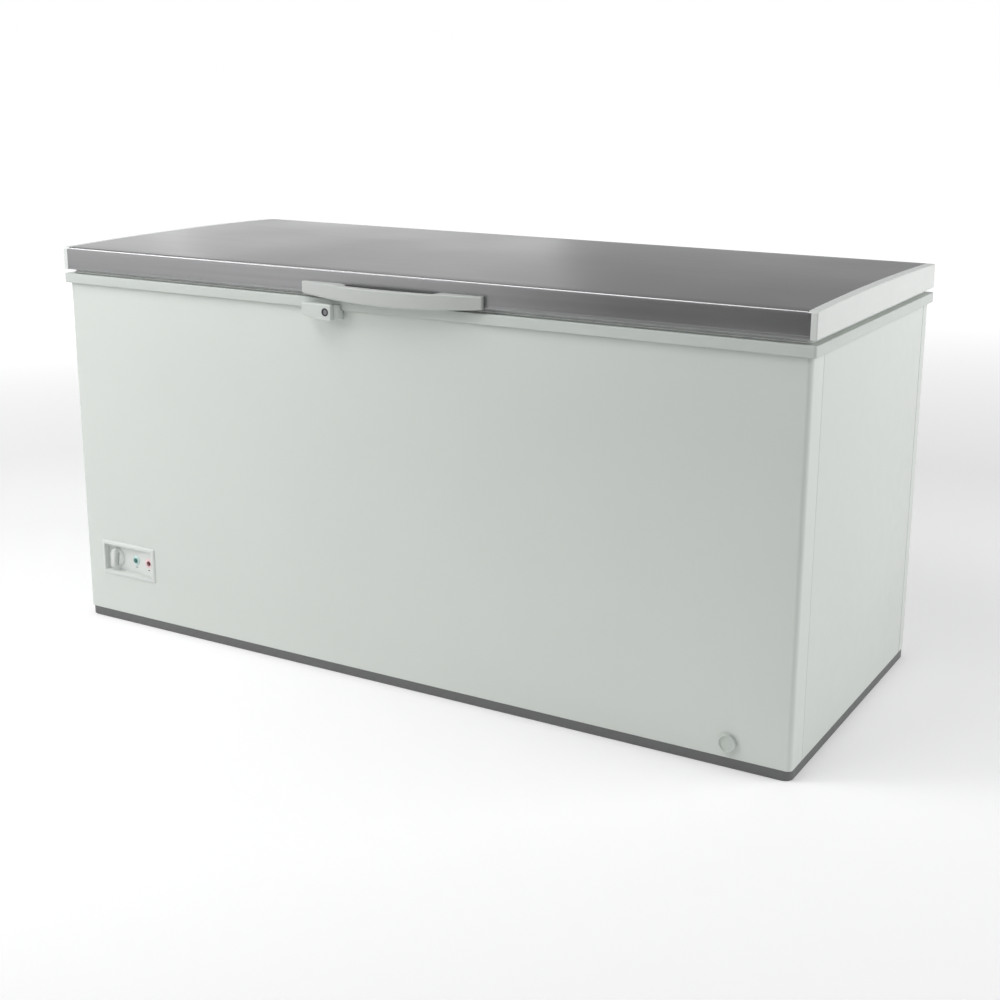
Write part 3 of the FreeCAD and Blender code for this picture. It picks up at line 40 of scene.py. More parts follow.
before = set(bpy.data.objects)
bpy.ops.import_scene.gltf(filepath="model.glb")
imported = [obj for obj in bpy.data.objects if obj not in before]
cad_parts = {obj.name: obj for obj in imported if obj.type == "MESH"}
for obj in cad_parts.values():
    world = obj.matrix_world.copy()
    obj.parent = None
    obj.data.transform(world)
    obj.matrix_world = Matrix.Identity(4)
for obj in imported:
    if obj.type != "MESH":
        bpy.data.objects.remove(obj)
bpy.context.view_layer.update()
MM = 0.001
ARC_STEPS = 6           # straight pieces in a rounded corner
SHARP = 32              # edges turning by more degrees than this stay sharp
PAST = 10 * MM          # how far a cutting tool runs past what it cuts
MERGE = 1e-6            # points nearer than this are one
MOST_OF_SIDE = 0.49     # the share of a side that one rounded corner may take
STRAIGHT = 1e-4         # a corner within this many radians of straight isn't rounded


# ---------------------------------------------------------------- outlines

def softened(corners, steps=ARC_STEPS):
    """A closed outline from (x, y, radius) corners, each corner turned into a tangent arc."""
    points = []
    for i, (x, y, radius) in enumerate(corners):
        here = Vector((x, y))
        back = Vector(corners[i - 1][:2]) - here
        ahead = Vector(corners[(i + 1) % len(corners)][:2]) - here
        if radius <= 0:
            points.append(here)
            continue
        half = back.angle(ahead, 0) / 2
        if min(half, math.pi / 2 - half) < STRAIGHT:
            points += [here] * (steps + 1)
            continue
        reach = min(radius / math.tan(half), MOST_OF_SIDE * min(back.length, ahead.length))
        radius = reach * math.tan(half)
        back.normalize()
        ahead.normalize()
        centre = here + (back + ahead).normalized() * math.hypot(reach, radius)
        first, last = here + back * reach - centre, here + ahead * reach - centre
        sweep = first.angle_signed(last)
        for step in range(steps + 1):
            turn = Matrix.Rotation(-sweep * step / steps, 2)
            points.append(centre + turn @ first)
    return points


def box_outline(low, high, radius, steps=ARC_STEPS):
    """A rectangle between two corners, with all four corners rounded."""
    (x0, y0), (x1, y1) = low, high
    return softened([(x0, y0, radius), (x1, y0, radius), (x1, y1, radius), (x0, y1, radius)], steps)


def inset_box(low, high, away, radius, steps=ARC_STEPS):
    """A rounded rectangle taken in by away from two corners."""
    return box_outline([c + away for c in low], [c - away for c in high], radius, steps)


def inset(points, distance):
    """The outline moved inwards by a distance."""
    area = sum(a.cross(b) for a, b in zip(points, points[1:] + points[:1]))
    side = 1 if area > 0 else -1
    least_cosine = 0.3
    moved = []
    for i, here in enumerate(points):
        before = (here - points[i - 1]).normalized()
        after = (points[(i + 1) % len(points)] - here).normalized()
        normals = [Vector((-d.y, d.x)) * side for d in (before, after)]
        middle = (normals[0] + normals[1]).normalized()
        moved.append(here + middle * distance / max(middle.dot(normals[0]), least_cosine))
    return moved


def placed(points, height, axis):
    """An outline set up in space, at a height along an axis, its two numbers in X, Y, Z order."""
    if axis == "x":
        return [Vector((height, p.x, p.y)) for p in points]
    if axis == "y":
        return [Vector((p.x, height, p.y)) for p in points]
    return [Vector((p.x, p.y, height)) for p in points]


# ---------------------------------------------------------------- meshes

def finished(mesh, sharp=SHARP):
    """Merges, turns the normals outwards and smooths all but the sharp edges."""
    work = bmesh.new()
    work.from_mesh(mesh)
    bmesh.ops.remove_doubles(work, verts=work.verts, dist=MERGE)
    bmesh.ops.dissolve_degenerate(work, edges=work.edges, dist=MERGE)
    bmesh.ops.recalc_face_normals(work, faces=work.faces)
    work.to_mesh(mesh)
    work.free()
    mesh.shade_smooth()
    mesh.set_sharp_from_angle(angle=math.radians(sharp))


def in_scene(name, data):
    """A new object from a mesh, a light or a camera."""
    piece = bpy.data.objects.new(name, data)
    bpy.context.scene.collection.objects.link(piece)
    return piece


def solid(name, rings, closed=False):
    """A mesh through rings of equal length. It ends in caps, or joins up with itself if closed."""
    count = len(rings[0])
    verts = [tuple(p) for ring in rings for p in ring]
    faces = []
    for i in range(len(rings) if closed else len(rings) - 1):
        a, b = i * count, (i + 1) % len(rings) * count
        for j in range(count):
            k = (j + 1) % count
            faces.append((a + j, a + k, b + k, b + j))
    if not closed:
        faces += [tuple(range(count)), tuple(range(len(verts) - 1, len(verts) - 1 - count, -1))]
    mesh = bpy.data.meshes.new(name)
    mesh.from_pydata(verts, [], faces)
    finished(mesh)
    return in_scene(name, mesh)


def slab(name, outline, axis, low, high, soft_low=0.0, soft_high=0.0, steps=4):
    """An outline drawn out along an axis, with its edges rounded at either end."""
    rings = []
    for end, soft, sign in ((low, soft_low, 1), (high, soft_high, -1)):
        stack = []
        for step in range(steps + 1 if soft else 1):
            angle = math.pi / 2 * step / steps
            away = soft * (1 - math.sin(angle))
            stack.append(placed(inset(outline, away) if away > MERGE else outline,
                                end + sign * soft * (1 - math.cos(angle)), axis))
        rings += stack if sign == 1 else stack[::-1]
    return solid(name, rings)


def band(name, low, high, radius, profile, inner_radius=0.0, steps=ARC_STEPS):
    """A closed profile of (inset, height) swept round a rounded rectangle."""
    rings = []
    widest, least = max(away for away, _ in profile), 0.3 * MM
    for away, height in profile:
        corner = max(radius - away, inner_radius * away / widest, least)
        rings.append(placed(inset_box(low[:2], high[:2], away, corner, steps), height, "z"))
    return solid(name, rings, closed=True)


def turned(name, profile, axis, centre, count=48, hollow=False):
    """A profile of (radius, height) turned about an axis through centre. Its ends lie on the axis,
    or meet each other if it is hollow."""
    rings = []
    for radius, height in profile:
        circle = [Vector((radius * math.cos(2 * math.pi * i / count),
                          radius * math.sin(2 * math.pi * i / count))) for i in range(count)]
        rings.append([p + Vector(centre) for p in placed(circle, height, axis)])
    return solid(name, rings, closed=hollow)


def rod(name, radius, low, high, axis, centre, count=48):
    """A plain round bar, used as a cutting tool or as a stem."""
    return turned(name, [(0, low), (radius, low), (radius, high), (0, high)], axis, centre, count)


def merged(name, pieces, sharp=SHARP):
    """Several meshes as one object, one beside another."""
    work = bmesh.new()
    for piece in pieces:
        work.from_mesh(piece.data)
    mesh = bpy.data.meshes.new(name)
    work.to_mesh(mesh)
    work.free()
    for piece in pieces:
        bpy.data.objects.remove(piece)
    finished(mesh, sharp)
    return in_scene(name, mesh)


def boolean(piece, kind, *tools):
    """The piece less the tools, or together with them."""
    for tool in tools:
        modifier = piece.modifiers.new("boolean", "BOOLEAN")
        modifier.operation = kind
        modifier.object = tool
    graph = bpy.context.evaluated_depsgraph_get()
    mesh = bpy.data.meshes.new_from_object(piece.evaluated_get(graph))
    piece.modifiers.clear()
    piece.data = mesh
    for tool in tools:
        bpy.data.objects.remove(tool)
    finished(mesh)
    return piece


def less(piece, *tools):
    return boolean(piece, "DIFFERENCE", *tools)


def brick(name, low, high, radius=0.0):
    """A plain box, used as a cutting tool."""
    outline = box_outline(low[:2], high[:2], radius)
    return slab(name, outline, "z", low[2], high[2])


def show(piece, body, material, replaces=()):
    """Gives a piece its material, its body and the CAD nodes that it stands for."""
    piece.data.materials.clear()
    piece.data.materials.append(material)
    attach(piece, body)
    if replaces:
        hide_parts(*replaces)
    return piece


def middle_of(node):
    low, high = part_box(node)
    return (low + high) / 2


def lumps(node):
    """The boxes of a CAD node's separate solids."""
    work = bmesh.new()
    work.from_mesh(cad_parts[node].data)
    bmesh.ops.remove_doubles(work, verts=work.verts, dist=MERGE)
    todo, found = set(work.verts), []
    while todo:
        group, edge = set(), [todo.pop()]
        while edge:
            vert = edge.pop()
            group.add(vert)
            for link in vert.link_edges:
                other = link.other_vert(vert)
                if other in todo:
                    todo.remove(other)
                    edge.append(other)
        places = [v.co for v in group]
        found.append((Vector(min(p[i] for p in places) for i in range(3)),
                      Vector(max(p[i] for p in places) for i in range(3))))
    work.free()
    return sorted(found, key=lambda b: tuple(round(c, 4) for c in b[0]))


# ---------------------------------------------------------------- materials

class Look:
    """A Principled material with object-space textures."""

    def __init__(self, name, colour, roughness, metallic=0.0):
        self.material = bpy.data.materials.new(name)
        self.material.use_nodes = True
        self.tree = self.material.node_tree
        self.shader = self.tree.nodes["Principled BSDF"]
        self.colour = colour
        self.set("Base Color", (*colour, 1))
        self.set("Roughness", roughness)
        self.set("Metallic", metallic)
        self.roughness = roughness
        self.coords = self.tree.nodes.new("ShaderNodeTexCoord").outputs["Object"]

    def set(self, socket, value):
        self.shader.inputs[socket].default_value = value

    def node(self, kind, **values):
        """A new shader node with some of its inputs set."""
        node = self.tree.nodes.new("ShaderNode" + kind)
        for socket, value in values.items():
            node.inputs[socket].default_value = value
        return node

    def link(self, output, socket):
        self.tree.links.new(output, socket)

    def noise(self, scale, detail=3, stretch=None):
        node = self.node("TexNoise", Scale=scale, Detail=detail)
        place = self.coords
        if stretch:
            mapping = self.node("Mapping", Scale=stretch)
            self.link(place, mapping.inputs["Vector"])
            place = mapping.outputs["Vector"]
        self.link(place, node.inputs["Vector"])
        return node.outputs["Fac"]

    def cells(self, scale, feature="F1", output="Distance"):
        node = self.node("TexVoronoi", Scale=scale)
        node.feature = feature
        self.link(self.coords, node.inputs["Vector"])
        return node.outputs[output]

    def ramp(self, value, low, high, at=(0.3, 0.7)):
        """A value or a colour that goes from low to high."""
        if isinstance(low, tuple):
            node = self.node("ValToRGB")
            for element, place, colour in zip(node.color_ramp.elements, at, (low, high)):
                element.position = place
                element.color = (*colour, 1)
            self.link(value, node.inputs["Fac"])
            return node.outputs["Color"]
        node = self.node("MapRange", **{"From Min": at[0], "From Max": at[1], "To Min": low,
                                        "To Max": high})
        self.link(value, node.inputs["Value"])
        return node.outputs["Result"]

    def vary_colour(self, value, spread):
        """Lets the base colour drift by a share either way."""
        low, high = (tuple(c * (1 + sign * spread) for c in self.colour) for sign in (-1, 1))
        self.link(self.ramp(value, low, high), self.shader.inputs["Base Color"])

    def vary_roughness(self, value, spread):
        self.link(self.ramp(value, self.roughness - spread, self.roughness + spread),
                  self.shader.inputs["Roughness"])

    def bump(self, *layers):
        """Bump from (value, depth in metres) layers."""
        normal = None
        for value, depth in layers:
            node = self.node("Bump", Distance=depth, Strength=1)
            self.link(value, node.inputs["Height"])
            if normal:
                self.link(normal, node.inputs["Normal"])
            normal = node.outputs["Normal"]
        self.link(normal, self.shader.inputs["Normal"])


def paint(name, colour, roughness=0.38):
    """Stoved powder paint: faint orange peel, and a sheet that isn't quite flat."""
    look = Look(name, colour, roughness)
    look.vary_colour(look.noise(2.2, 4), 0.012)
    look.vary_roughness(look.noise(35, 5), 0.05)
    look.bump((look.noise(3.0, 1), 0.0010), (look.noise(520, 2), 0.000025))
    look.set("Coat Weight", 0.12)
    look.set("Coat Roughness", 0.25)
    return look.material


def moulded(name, colour, roughness=0.42, grain=0.00002):
    """Injection-moulded plastic with a fine spark-eroded grain."""
    look = Look(name, colour, roughness)
    look.vary_colour(look.noise(9, 3), 0.015)
    look.vary_roughness(look.noise(60, 4), 0.05)
    look.bump((look.noise(1400, 2), grain), (look.noise(14, 2), 0.0001))
    look.set("Subsurface Weight", 0.04)
    look.set("Subsurface Radius", (0.002, 0.002, 0.002))
    return look.material


def brushed(name, colour, roughness=0.33):
    """Stainless sheet brushed along X: long hair lines, a few deeper ones, and faint smears."""
    look = Look(name, colour, roughness, 1.0)
    hair = look.noise(1.0, 6, (2.5, 900, 900))
    coarse = look.noise(1.0, 3, (0.9, 160, 160))
    smear = look.noise(2.4, 4)
    look.vary_colour(coarse, 0.05)
    look.vary_roughness(look.ramp(smear, 0.35, 0.65), 0.035)
    look.bump((hair, 0.00001), (coarse, 0.00001), (look.noise(1.6, 1), 0.0009))
    return look.material


def zinc(name, colour, roughness=0.36):
    """Galvanised sheet with its crystal flowers."""
    look = Look(name, colour, roughness, 0.95)
    look.vary_colour(look.cells(70, output="Color"), 0.09)
    look.vary_roughness(look.noise(90, 4), 0.08)
    look.bump((look.noise(240, 3), 0.00003))
    return look.material


def stucco(name, colour, roughness=0.42):
    """Aluminium sheet rolled with a leather-like emboss."""
    look = Look(name, colour, roughness, 0.85)
    look.vary_colour(look.noise(18, 4), 0.03)
    look.vary_roughness(look.noise(70, 4), 0.04)
    look.bump((look.cells(210, "SMOOTH_F1"), 0.00022), (look.noise(400, 2), 0.00003))
    return look.material


def metal(name, colour, roughness=0.22):
    look = Look(name, colour, roughness, 1.0)
    look.vary_colour(look.noise(45, 4), 0.05)
    look.vary_roughness(look.noise(120, 4), 0.07)
    look.bump((look.noise(900, 3), 0.000012))
    return look.material


def rubber(name, colour, roughness=0.7):
    look = Look(name, colour, roughness)
    look.vary_colour(look.noise(40, 4), 0.06)
    look.vary_roughness(look.noise(90, 3), 0.08)
    look.bump((look.noise(700, 3), 0.00005))
    look.set("Sheen Weight", 0.08)
    return look.material


def foamed(name, colour):
    """Poured insulation foam with its cells."""
    look = Look(name, colour, 0.9)
    look.vary_colour(look.noise(26, 4), 0.08)
    look.vary_roughness(look.noise(120, 3), 0.06)
    look.bump((look.cells(420), 0.0005), (look.noise(40, 3), 0.0012))
    return look.material


def lens(name, colour):
    """Tinted lamp cover with a moulded prism pattern behind a polished face."""
    look = Look(name, colour, 0.12)
    look.vary_colour(look.cells(900), 0.25)
    look.vary_roughness(look.noise(300, 2), 0.03)
    look.bump((look.cells(1300), 0.00008))
    look.set("Transmission Weight", 0.25)
    look.set("Coat Weight", 0.6)
    look.set("Coat Roughness", 0.05)
    return look.material


WHITE = paint("case_paint", (0.655, 0.69, 0.655))
CAP = moulded("cap_plastic", (0.69, 0.715, 0.69), 0.36)
TRIM = moulded("trim_plastic", (0.605, 0.64, 0.61), 0.38)
SPIGOT = moulded("drain_plastic", (0.56, 0.60, 0.56), 0.34)
# The handle is the case's greenish white made darker. This is painted shade for the darker tone of the
# handle's face.
HANDLE_SHADED_PLASTIC = moulded("handle_plastic_painted_shade", (0.50, 0.52, 0.50), 0.36)
PLINTH = moulded("plinth_plastic", (0.135, 0.137, 0.137), 0.55, 0.00006)
# The rim is the lock's trim plastic made darker. This is painted shade for the shade that falls on the
# rim's front under the lid and the handle.
RIM_SHADED_PLASTIC = moulded("rim_plastic", (0.565, 0.60, 0.57), 0.38)
STEEL = brushed("lid_stainless", (0.345, 0.345, 0.35))
ZINC = zinc("zinc_sheet", (0.56, 0.57, 0.58))
LINING = stucco("tub_sheet", (0.84, 0.85, 0.86))
BRIGHT = metal("bright_steel", (0.66, 0.66, 0.67))
DARK_STEEL = metal("barrel_steel", (0.30, 0.30, 0.31), 0.3)
COPPER = metal("copper_tube", (0.72, 0.38, 0.24), 0.3)
TUBE = metal("tube_aluminium", (0.70, 0.71, 0.72), 0.34)
LACQUER = paint("black_lacquer", (0.022, 0.022, 0.023), 0.3)
BLACK = moulded("black_plastic", (0.03, 0.03, 0.031), 0.45)
GREY_RUBBER = rubber("seal_rubber", (0.80, 0.82, 0.80))
RUBBER = rubber("black_rubber", (0.03, 0.03, 0.03))
FOAM = foamed("pu_foam", (0.78, 0.66, 0.36))
GREEN = lens("green_lens", (0.03, 0.19, 0.17))
RED = lens("red_lens", (0.13, 0.006, 0.014))
PALE_GREEN = moulded("pale_green_collar", (0.60, 0.79, 0.76), 0.3)
PALE_RED = moulded("pale_red_collar", (0.86, 0.63, 0.65), 0.3)

CARRIED = (
    (ZINC, "base_pan compressor_deck compressor_bulkhead compressor_plate rear_cover hinge_brackets "
           "hinge_leaf_left hinge_leaf_right lock_hook lock_keeper"),
    (BRIGHT, "compressor_bolts hinge_pins"),
    (RUBBER, "compressor_mounts"),
    (LACQUER, "compressor condenser_coil"),
    (BLACK, "terminal_cover thermostat cable_gland hinge_plunger_left hinge_plunger_right"),
    (TUBE, "evaporator_coil"),
    (COPPER, "filter_drier_and_capillary refrigerant_lines thermostat_sensing_tube"),
    (FOAM, "foam_floor foam_front foam_left foam_rear foam_right foam_step lid_foam"),
    (CAP, "drain_tube"),
)


def carry_over():
    """Gives the CAD nodes that are shown as they are their materials."""
    for material, nodes in CARRIED:
        for node in nodes.split():
            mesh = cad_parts[node].data
            mesh.materials.clear()
            mesh.materials.append(material)


# ---------------------------------------------------------------- case

def wrap(name, node, outward):
    """A sheet folded round two corners, with the free edges of its returns rounded."""
    low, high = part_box(node)
    gauge, bend, lip = 1.0 * MM, 10 * MM, 0.45 * MM
    face = low.y if outward < 0 else high.y
    back = high.y if outward < 0 else low.y
    inner = face - outward * gauge
    outline = softened([
        (low.x, back, lip), (low.x, face, bend), (high.x, face, bend), (high.x, back, lip),
        (high.x - gauge, back, lip), (high.x - gauge, inner, bend - gauge),
        (low.x + gauge, inner, bend - gauge), (low.x + gauge, back, lip)], 8)
    return slab(name, outline, "z", low.z, high.z)


def case():
    front = wrap("front_sheet", "front_panel", -1)
    low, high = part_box("control_bezel")
    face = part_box("front_panel")[0].y
    border, deep = 5.2 * MM, 4 * MM
    window = brick("window", (low.x + border, face - deep, low.z + border),
                   (high.x - border, face + deep, high.z - border))
    middle, outlet_radius = middle_of("drain_collar"), 11 * MM
    outlet = rod("outlet", outlet_radius, face - deep, face + deep, "y", (middle.x, 0, middle.z))
    show(less(front, window, outlet), "cabinet", WHITE, ["front_panel"])

    rear = wrap("rear_sheet", "rear_panel", 1)
    low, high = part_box("rear_cover")
    flange = 9 * MM
    access = brick("access", (low.x + flange, low.y - deep, low.z + flange),
                   (high.x - flange, high.y + deep, high.z - flange))
    show(less(rear, access), "cabinet", WHITE, ["rear_panel"])
    for side, sign in (("left", -1), ("right", 1)):
        side_sheet(side, sign)


def side_sheet(side, sign):
    """Side sheet with both upright edges folded in, over the tongues that bridge the seams."""
    low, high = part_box(f"side_panel_{side}")
    gauge, fold, tongue, seam = 1.0 * MM, 1.1 * MM, 9 * MM, 0.7 * MM
    thick, edge, deep = 1.9 * MM, 0.2 * MM, 2.6 * MM
    outer = high.x if sign > 0 else low.x
    front, back = low.y + tongue, high.y - tongue
    outline = softened([(outer, front, fold), (outer, back, fold),
                        (outer - sign * thick, back, edge), (outer - sign * thick, front, edge)], 5)
    face = slab(f"{side}_face", outline, "z", low.z, high.z)
    reach = sorted((outer - sign * deep, outer - sign * (deep + gauge)))
    strips = [brick(f"{side}_tongue_{i}", (reach[0], y - tongue, low.z), (reach[1], y + tongue, high.z))
              for i, y in enumerate((front - seam, back + seam))]
    name = f"{side}_sheet"
    if side == "left":
        vent_low, vent_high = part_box("vent_grille_left")
        lip, through = 6.3 * MM, 4 * MM
        hole = brick("vent_hole", (outer - through, vent_low.y + lip, vent_low.z + lip),
                     (outer + through, vent_high.y - lip, vent_high.z - lip))
        face = less(face, hole)
    show(merged(name, [face, *strips]), "cabinet", WHITE, [f"side_panel_{side}"])


def plinth():
    low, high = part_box("base_plinth")
    rail, soft, corner, well_corner, gap = 60 * MM, 2.5 * MM, 18 * MM, 10 * MM, 0.1 * MM
    outline = box_outline(low[:2], high[:2], corner, 8)
    base = slab("plinth_moulding", outline, "z", low.z, high.z - gap, soft, 0)
    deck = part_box("compressor_deck")[1].x
    wells = [(low.x + rail, deck - rail / 2), (deck + rail / 2, rail), (2 * rail, high.x - rail)]
    holes = [brick(f"plinth_well_{i}", (x0, low.y + rail, -rail), (x1, high.y - rail, rail), well_corner)
             for i, (x0, x1) in enumerate(wells)]
    show(less(base, *holes), "cabinet", PLINTH, ["base_plinth"])


def rim():
    """Moulded rim: outer skirt, flat top, rolled mouth and inner lip."""
    low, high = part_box("rim_frame")
    tub_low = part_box("inner_tub")[0]
    skirt, lip, wall, soft, roll = 20 * MM, 16 * MM, 2.5 * MM, 1.6 * MM, 3 * MM
    edge, fillet, overlap = 0.8 * MM, 1 * MM, 4.5 * MM
    mouth = tub_low.x + overlap - low.x
    profile = softened([
        (0, high.z - skirt, edge), (0, high.z, soft), (mouth, high.z, roll),
        (mouth, high.z - lip, edge), (mouth - wall, high.z - lip, edge),
        (mouth - wall, high.z - wall, fillet), (wall, high.z - wall, fillet),
        (wall, high.z - skirt, edge)], 5)
    outer_corner, mouth_corner = 5 * MM, 22 * MM
    show(band("rim_moulding", low, high, outer_corner, profile, mouth_corner, 8), "cabinet", RIM_SHADED_PLASTIC,
         ["rim_frame"])


def vent():
    """Louvred grille: a frame with sloping blades."""
    low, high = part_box("vent_grille_left")
    border, flange, proud, lap, soft = 12 * MM, 7 * MM, 2.5 * MM, 0.2 * MM, 1.5 * MM
    corner, inner_corner = 5 * MM, 3 * MM
    ends = low.yz, high.yz
    bezel = slab("vent_bezel", box_outline(*ends, corner), "x", low.x, low.x + proud, soft, 0)
    hole = slab("vent_hole", inset_box(*ends, border, inner_corner), "x", low.x - 5 * MM, low.x + 9 * MM)
    sleeve = slab("vent_sleeve", inset_box(*ends, flange, inner_corner), "x",
                  low.x + proud - lap, high.x)
    ring = less(boolean(bezel, "UNION", sleeve), hole)
    blades, pitch = [], 14 * MM
    count = int((high.z - low.z - 2 * border) / pitch)
    first = (low.z + high.z - (count - 1) * pitch) / 2
    thick, drop, climb, edge, into = 1.8 * MM, 5 * MM, 4 * MM, 0.7 * MM, 2 * MM
    outer, inner = low.x + 0.6 * MM, high.x - 0.3 * MM
    for i in range(count):
        z = first + i * pitch
        corners = [(outer, z - drop), (outer + thick, z - drop), (inner, z + climb),
                   (inner - thick, z + climb)]
        section = softened([(*at, edge) for at in corners], 3)
        blades.append(slab(f"blade_{i}", section, "y", low.y + border - into, high.y - border + into))
    show(merged("vent_louvres", [ring, *blades]), "cabinet", CAP, ["vent_grille_left"])


def tub():
    """Folded lining with a step over the machine compartment and rounded edges at its floors."""
    low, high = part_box("inner_tub")
    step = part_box("foam_step")[1]
    gauge, corner, floor, lap = 1.2 * MM, 25 * MM, 14 * MM, 60 * MM
    step_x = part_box("foam_floor")[0].x + 10 * MM
    step_z = step.z + gauge + 0.2 * MM

    def well(name, grow, top):
        front, end, back = low.y + gauge - grow, high.x - gauge + grow, high.y - gauge + grow
        halves = []
        for half, left, bottom, height in (
                ("deep", step_x - grow, low.z + gauge - grow, step_z + lap),
                ("wide", low.x + gauge - grow, step_z - grow, top)):
            outline = box_outline((left, front), (end, back), corner + grow, 8)
            halves.append(slab(f"{name}_{half}", outline, "z", bottom, height, floor + grow, 0))
        deep, wide = halves
        return boolean(wide, "UNION", deep)

    lining = less(well("tub_outside", gauge, high.z), well("tub_inside", 0, high.z + floor))
    middle, hole_radius = middle_of("drain_plug"), 10 * MM
    hole = rod("tub_hole", hole_radius, low.z - floor, low.z + floor, "z", (middle.x, middle.y, 0))
    show(less(lining, hole), "cabinet", LINING, ["inner_tub"])


# ---------------------------------------------------------------- lid

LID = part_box("lid_skin")
CAP_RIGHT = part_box("lid_end_cap_right")
EDGE_RADIUS = 4.5 * MM
CROWN = 5 * MM


def lid_section(away=0.0, low_z=None):
    """The lid's crown and upper sides as an open line of (y, z), front to back, taken in by away."""
    low, high = LID
    front, back, edge = low.y + away, high.y - away, high.z - CROWN - away
    half = (back - front) / 2
    arc = (half ** 2 + CROWN ** 2) / (2 * CROWN)
    middle, steps = (front + back) / 2, 24
    corners = [(front, low_z, 0), (front, edge, EDGE_RADIUS - away)]
    for i in range(1, steps):
        y = front + (back - front) * i / steps
        corners.append((y, edge - arc + CROWN + math.sqrt(arc ** 2 - (y - middle) ** 2), 0))
    return softened(corners + [(back, edge, EDGE_RADIUS - away), (back, low_z, 0)], 6)


def hemmed(away):
    """The sheet's line from one hem, under, up and over the crown, and down to the other."""
    low, high = LID
    hem, lift, jog, bend, edge = 40 * MM, 6.5 * MM, 0.9 * MM, 1.2 * MM, 0.4 * MM
    over = lid_section(away, low.z + lift)
    ends = []
    for side, y in ((1, low.y), (-1, high.y)):
        ends.append(softened([
            (y + side * hem, low.z + away, 0), (y + side * (away + jog), low.z + away, bend),
            (y + side * (away + jog), low.z + lift - jog, edge),
            (y + side * away, low.z + lift, edge), (y + side * away, low.z + 3 * lift, 0)], 4)[:-1])
    return ends[0] + over[1:-1] + ends[1][::-1]


def lid():
    high = LID[1]
    gauge, gap, cap_drop = 0.8 * MM, 0.15 * MM, 4 * MM
    step_z, top_inner = high.z - CROWN - cap_drop, CAP_RIGHT[0].x
    outline = hemmed(0.0) + hemmed(gauge)[::-1]
    sheets = [slab("lid_sheet", outline, "x", gap - top_inner, top_inner - gap)]
    for sign in (-1, 1):
        ends = sorted((sign * (top_inner - gap), sign * high.x))
        for front in (True, False):
            half = [[p for p in hemmed(away) if (p.x < 0) == front and p.y < step_z]
                    for away in (0.0, gauge)]
            flank = half[0] + half[1][::-1]
            sheets.append(slab(f"lid_flank_{sign}_{front}", flank, "x", *ends))
    show(merged("lid_skin_sheet", sheets, sharp=26), "lid", STEEL, ["lid_skin"])
    for side, sign in (("left", -1), ("right", 1)):
        end_cap(side, sign, top_inner, high.x, step_z)


def end_cap(side, sign, top_inner, flank, step_z):
    """Moulded end of the lid, lapping over the sheet at the top."""
    low, high = LID
    outer = CAP_RIGHT[1].x
    span = sorted((sign * top_inner, sign * outer))
    soft, edge = 2.6 * MM, 0.3 * MM
    softs = (soft, edge) if sign < 0 else (edge, soft)
    outline = lid_section(0.0, low.z)
    cap = slab(f"cap_{side}", outline, "x", span[0], span[1], *softs, steps=6)
    cut = sorted((sign * (top_inner - PAST), sign * flank))
    below = brick(f"cap_below_{side}", (cut[0], low.y - PAST, low.z - PAST),
                  (cut[1], high.y + PAST, step_z))
    show(less(cap, below), "lid", CAP, [f"lid_end_cap_{side}"])


def seal():
    """Magnetic seal: two lips with a bellows between them, the outer one bulging outwards."""
    low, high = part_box("lid_gasket")
    wide, top, bottom = 16 * MM, high.z, low.z
    profile = softened([
        (0, top, 0.5 * MM), (-4.5 * MM, top - 2 * MM, 1.5 * MM), (-1.5 * MM, top - 4 * MM, 1 * MM),
        (-5 * MM, top - 5.6 * MM, 1.5 * MM), (-4.4 * MM, bottom, 1.2 * MM),
        (wide - 0.6 * MM, bottom, 1.2 * MM), (wide - 0.2 * MM, top - 5.6 * MM, 1 * MM),
        (wide - 2.4 * MM, top - 4 * MM, 1 * MM), (wide - 0.3 * MM, top - 2.5 * MM, 1 * MM),
        (wide, top, 0.5 * MM)], 4)
    show(band("lid_seal", low, high, 6 * MM, profile, 2 * MM), "lid", GREY_RUBBER, ["lid_gasket"])


def lining():
    """Vacuum-formed lining of the lid with a raised middle and a sunk border round its panel."""
    low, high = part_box("lid_liner")
    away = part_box("lid_gasket")[0].x + 79 * MM - low.x
    deep, groove, gauge, lap = high.z - low.z, 1.6 * MM, 1.5 * MM, 1 * MM
    flange, panel, corner, panel_corner = high.z - 2 * MM, away + 110 * MM, 12 * MM, 20 * MM
    path = [(0, high.z - 0.2 * MM, 0), (0, flange, 1), (away - 3 * MM, flange, 6),
            (away + 2 * MM, low.z, 6), (away + 60 * MM, low.z, 3),
            (away + 62 * MM, low.z + groove, 2), (away + 82 * MM, low.z + groove, 2),
            (away + 84 * MM, low.z, 3), (panel, low.z, 0), (panel, low.z + gauge, 0),
            (away + 2 * MM, low.z + deep / 3, 0), (away, high.z - 0.4 * MM, 0)]
    profile = softened([(x, z, r * MM) for x, z, r in path], 5)
    ring = band("liner_ring", low, high, corner, profile, panel_corner, 8)
    hub = slab("liner_hub", inset_box(low[:2], high[:2], panel - lap, panel_corner, 8), "z",
               low.z, low.z + gauge)
    show(merged("lid_lining", [ring, hub]), "lid", CAP, ["lid_liner"])


FINGER = 104 * MM       # half the opening behind the grip
FINGER_TURN = 9 * MM    # the curve at each end of it
FOOT_FADE = 16 * MM     # the slope from the grip up to a foot


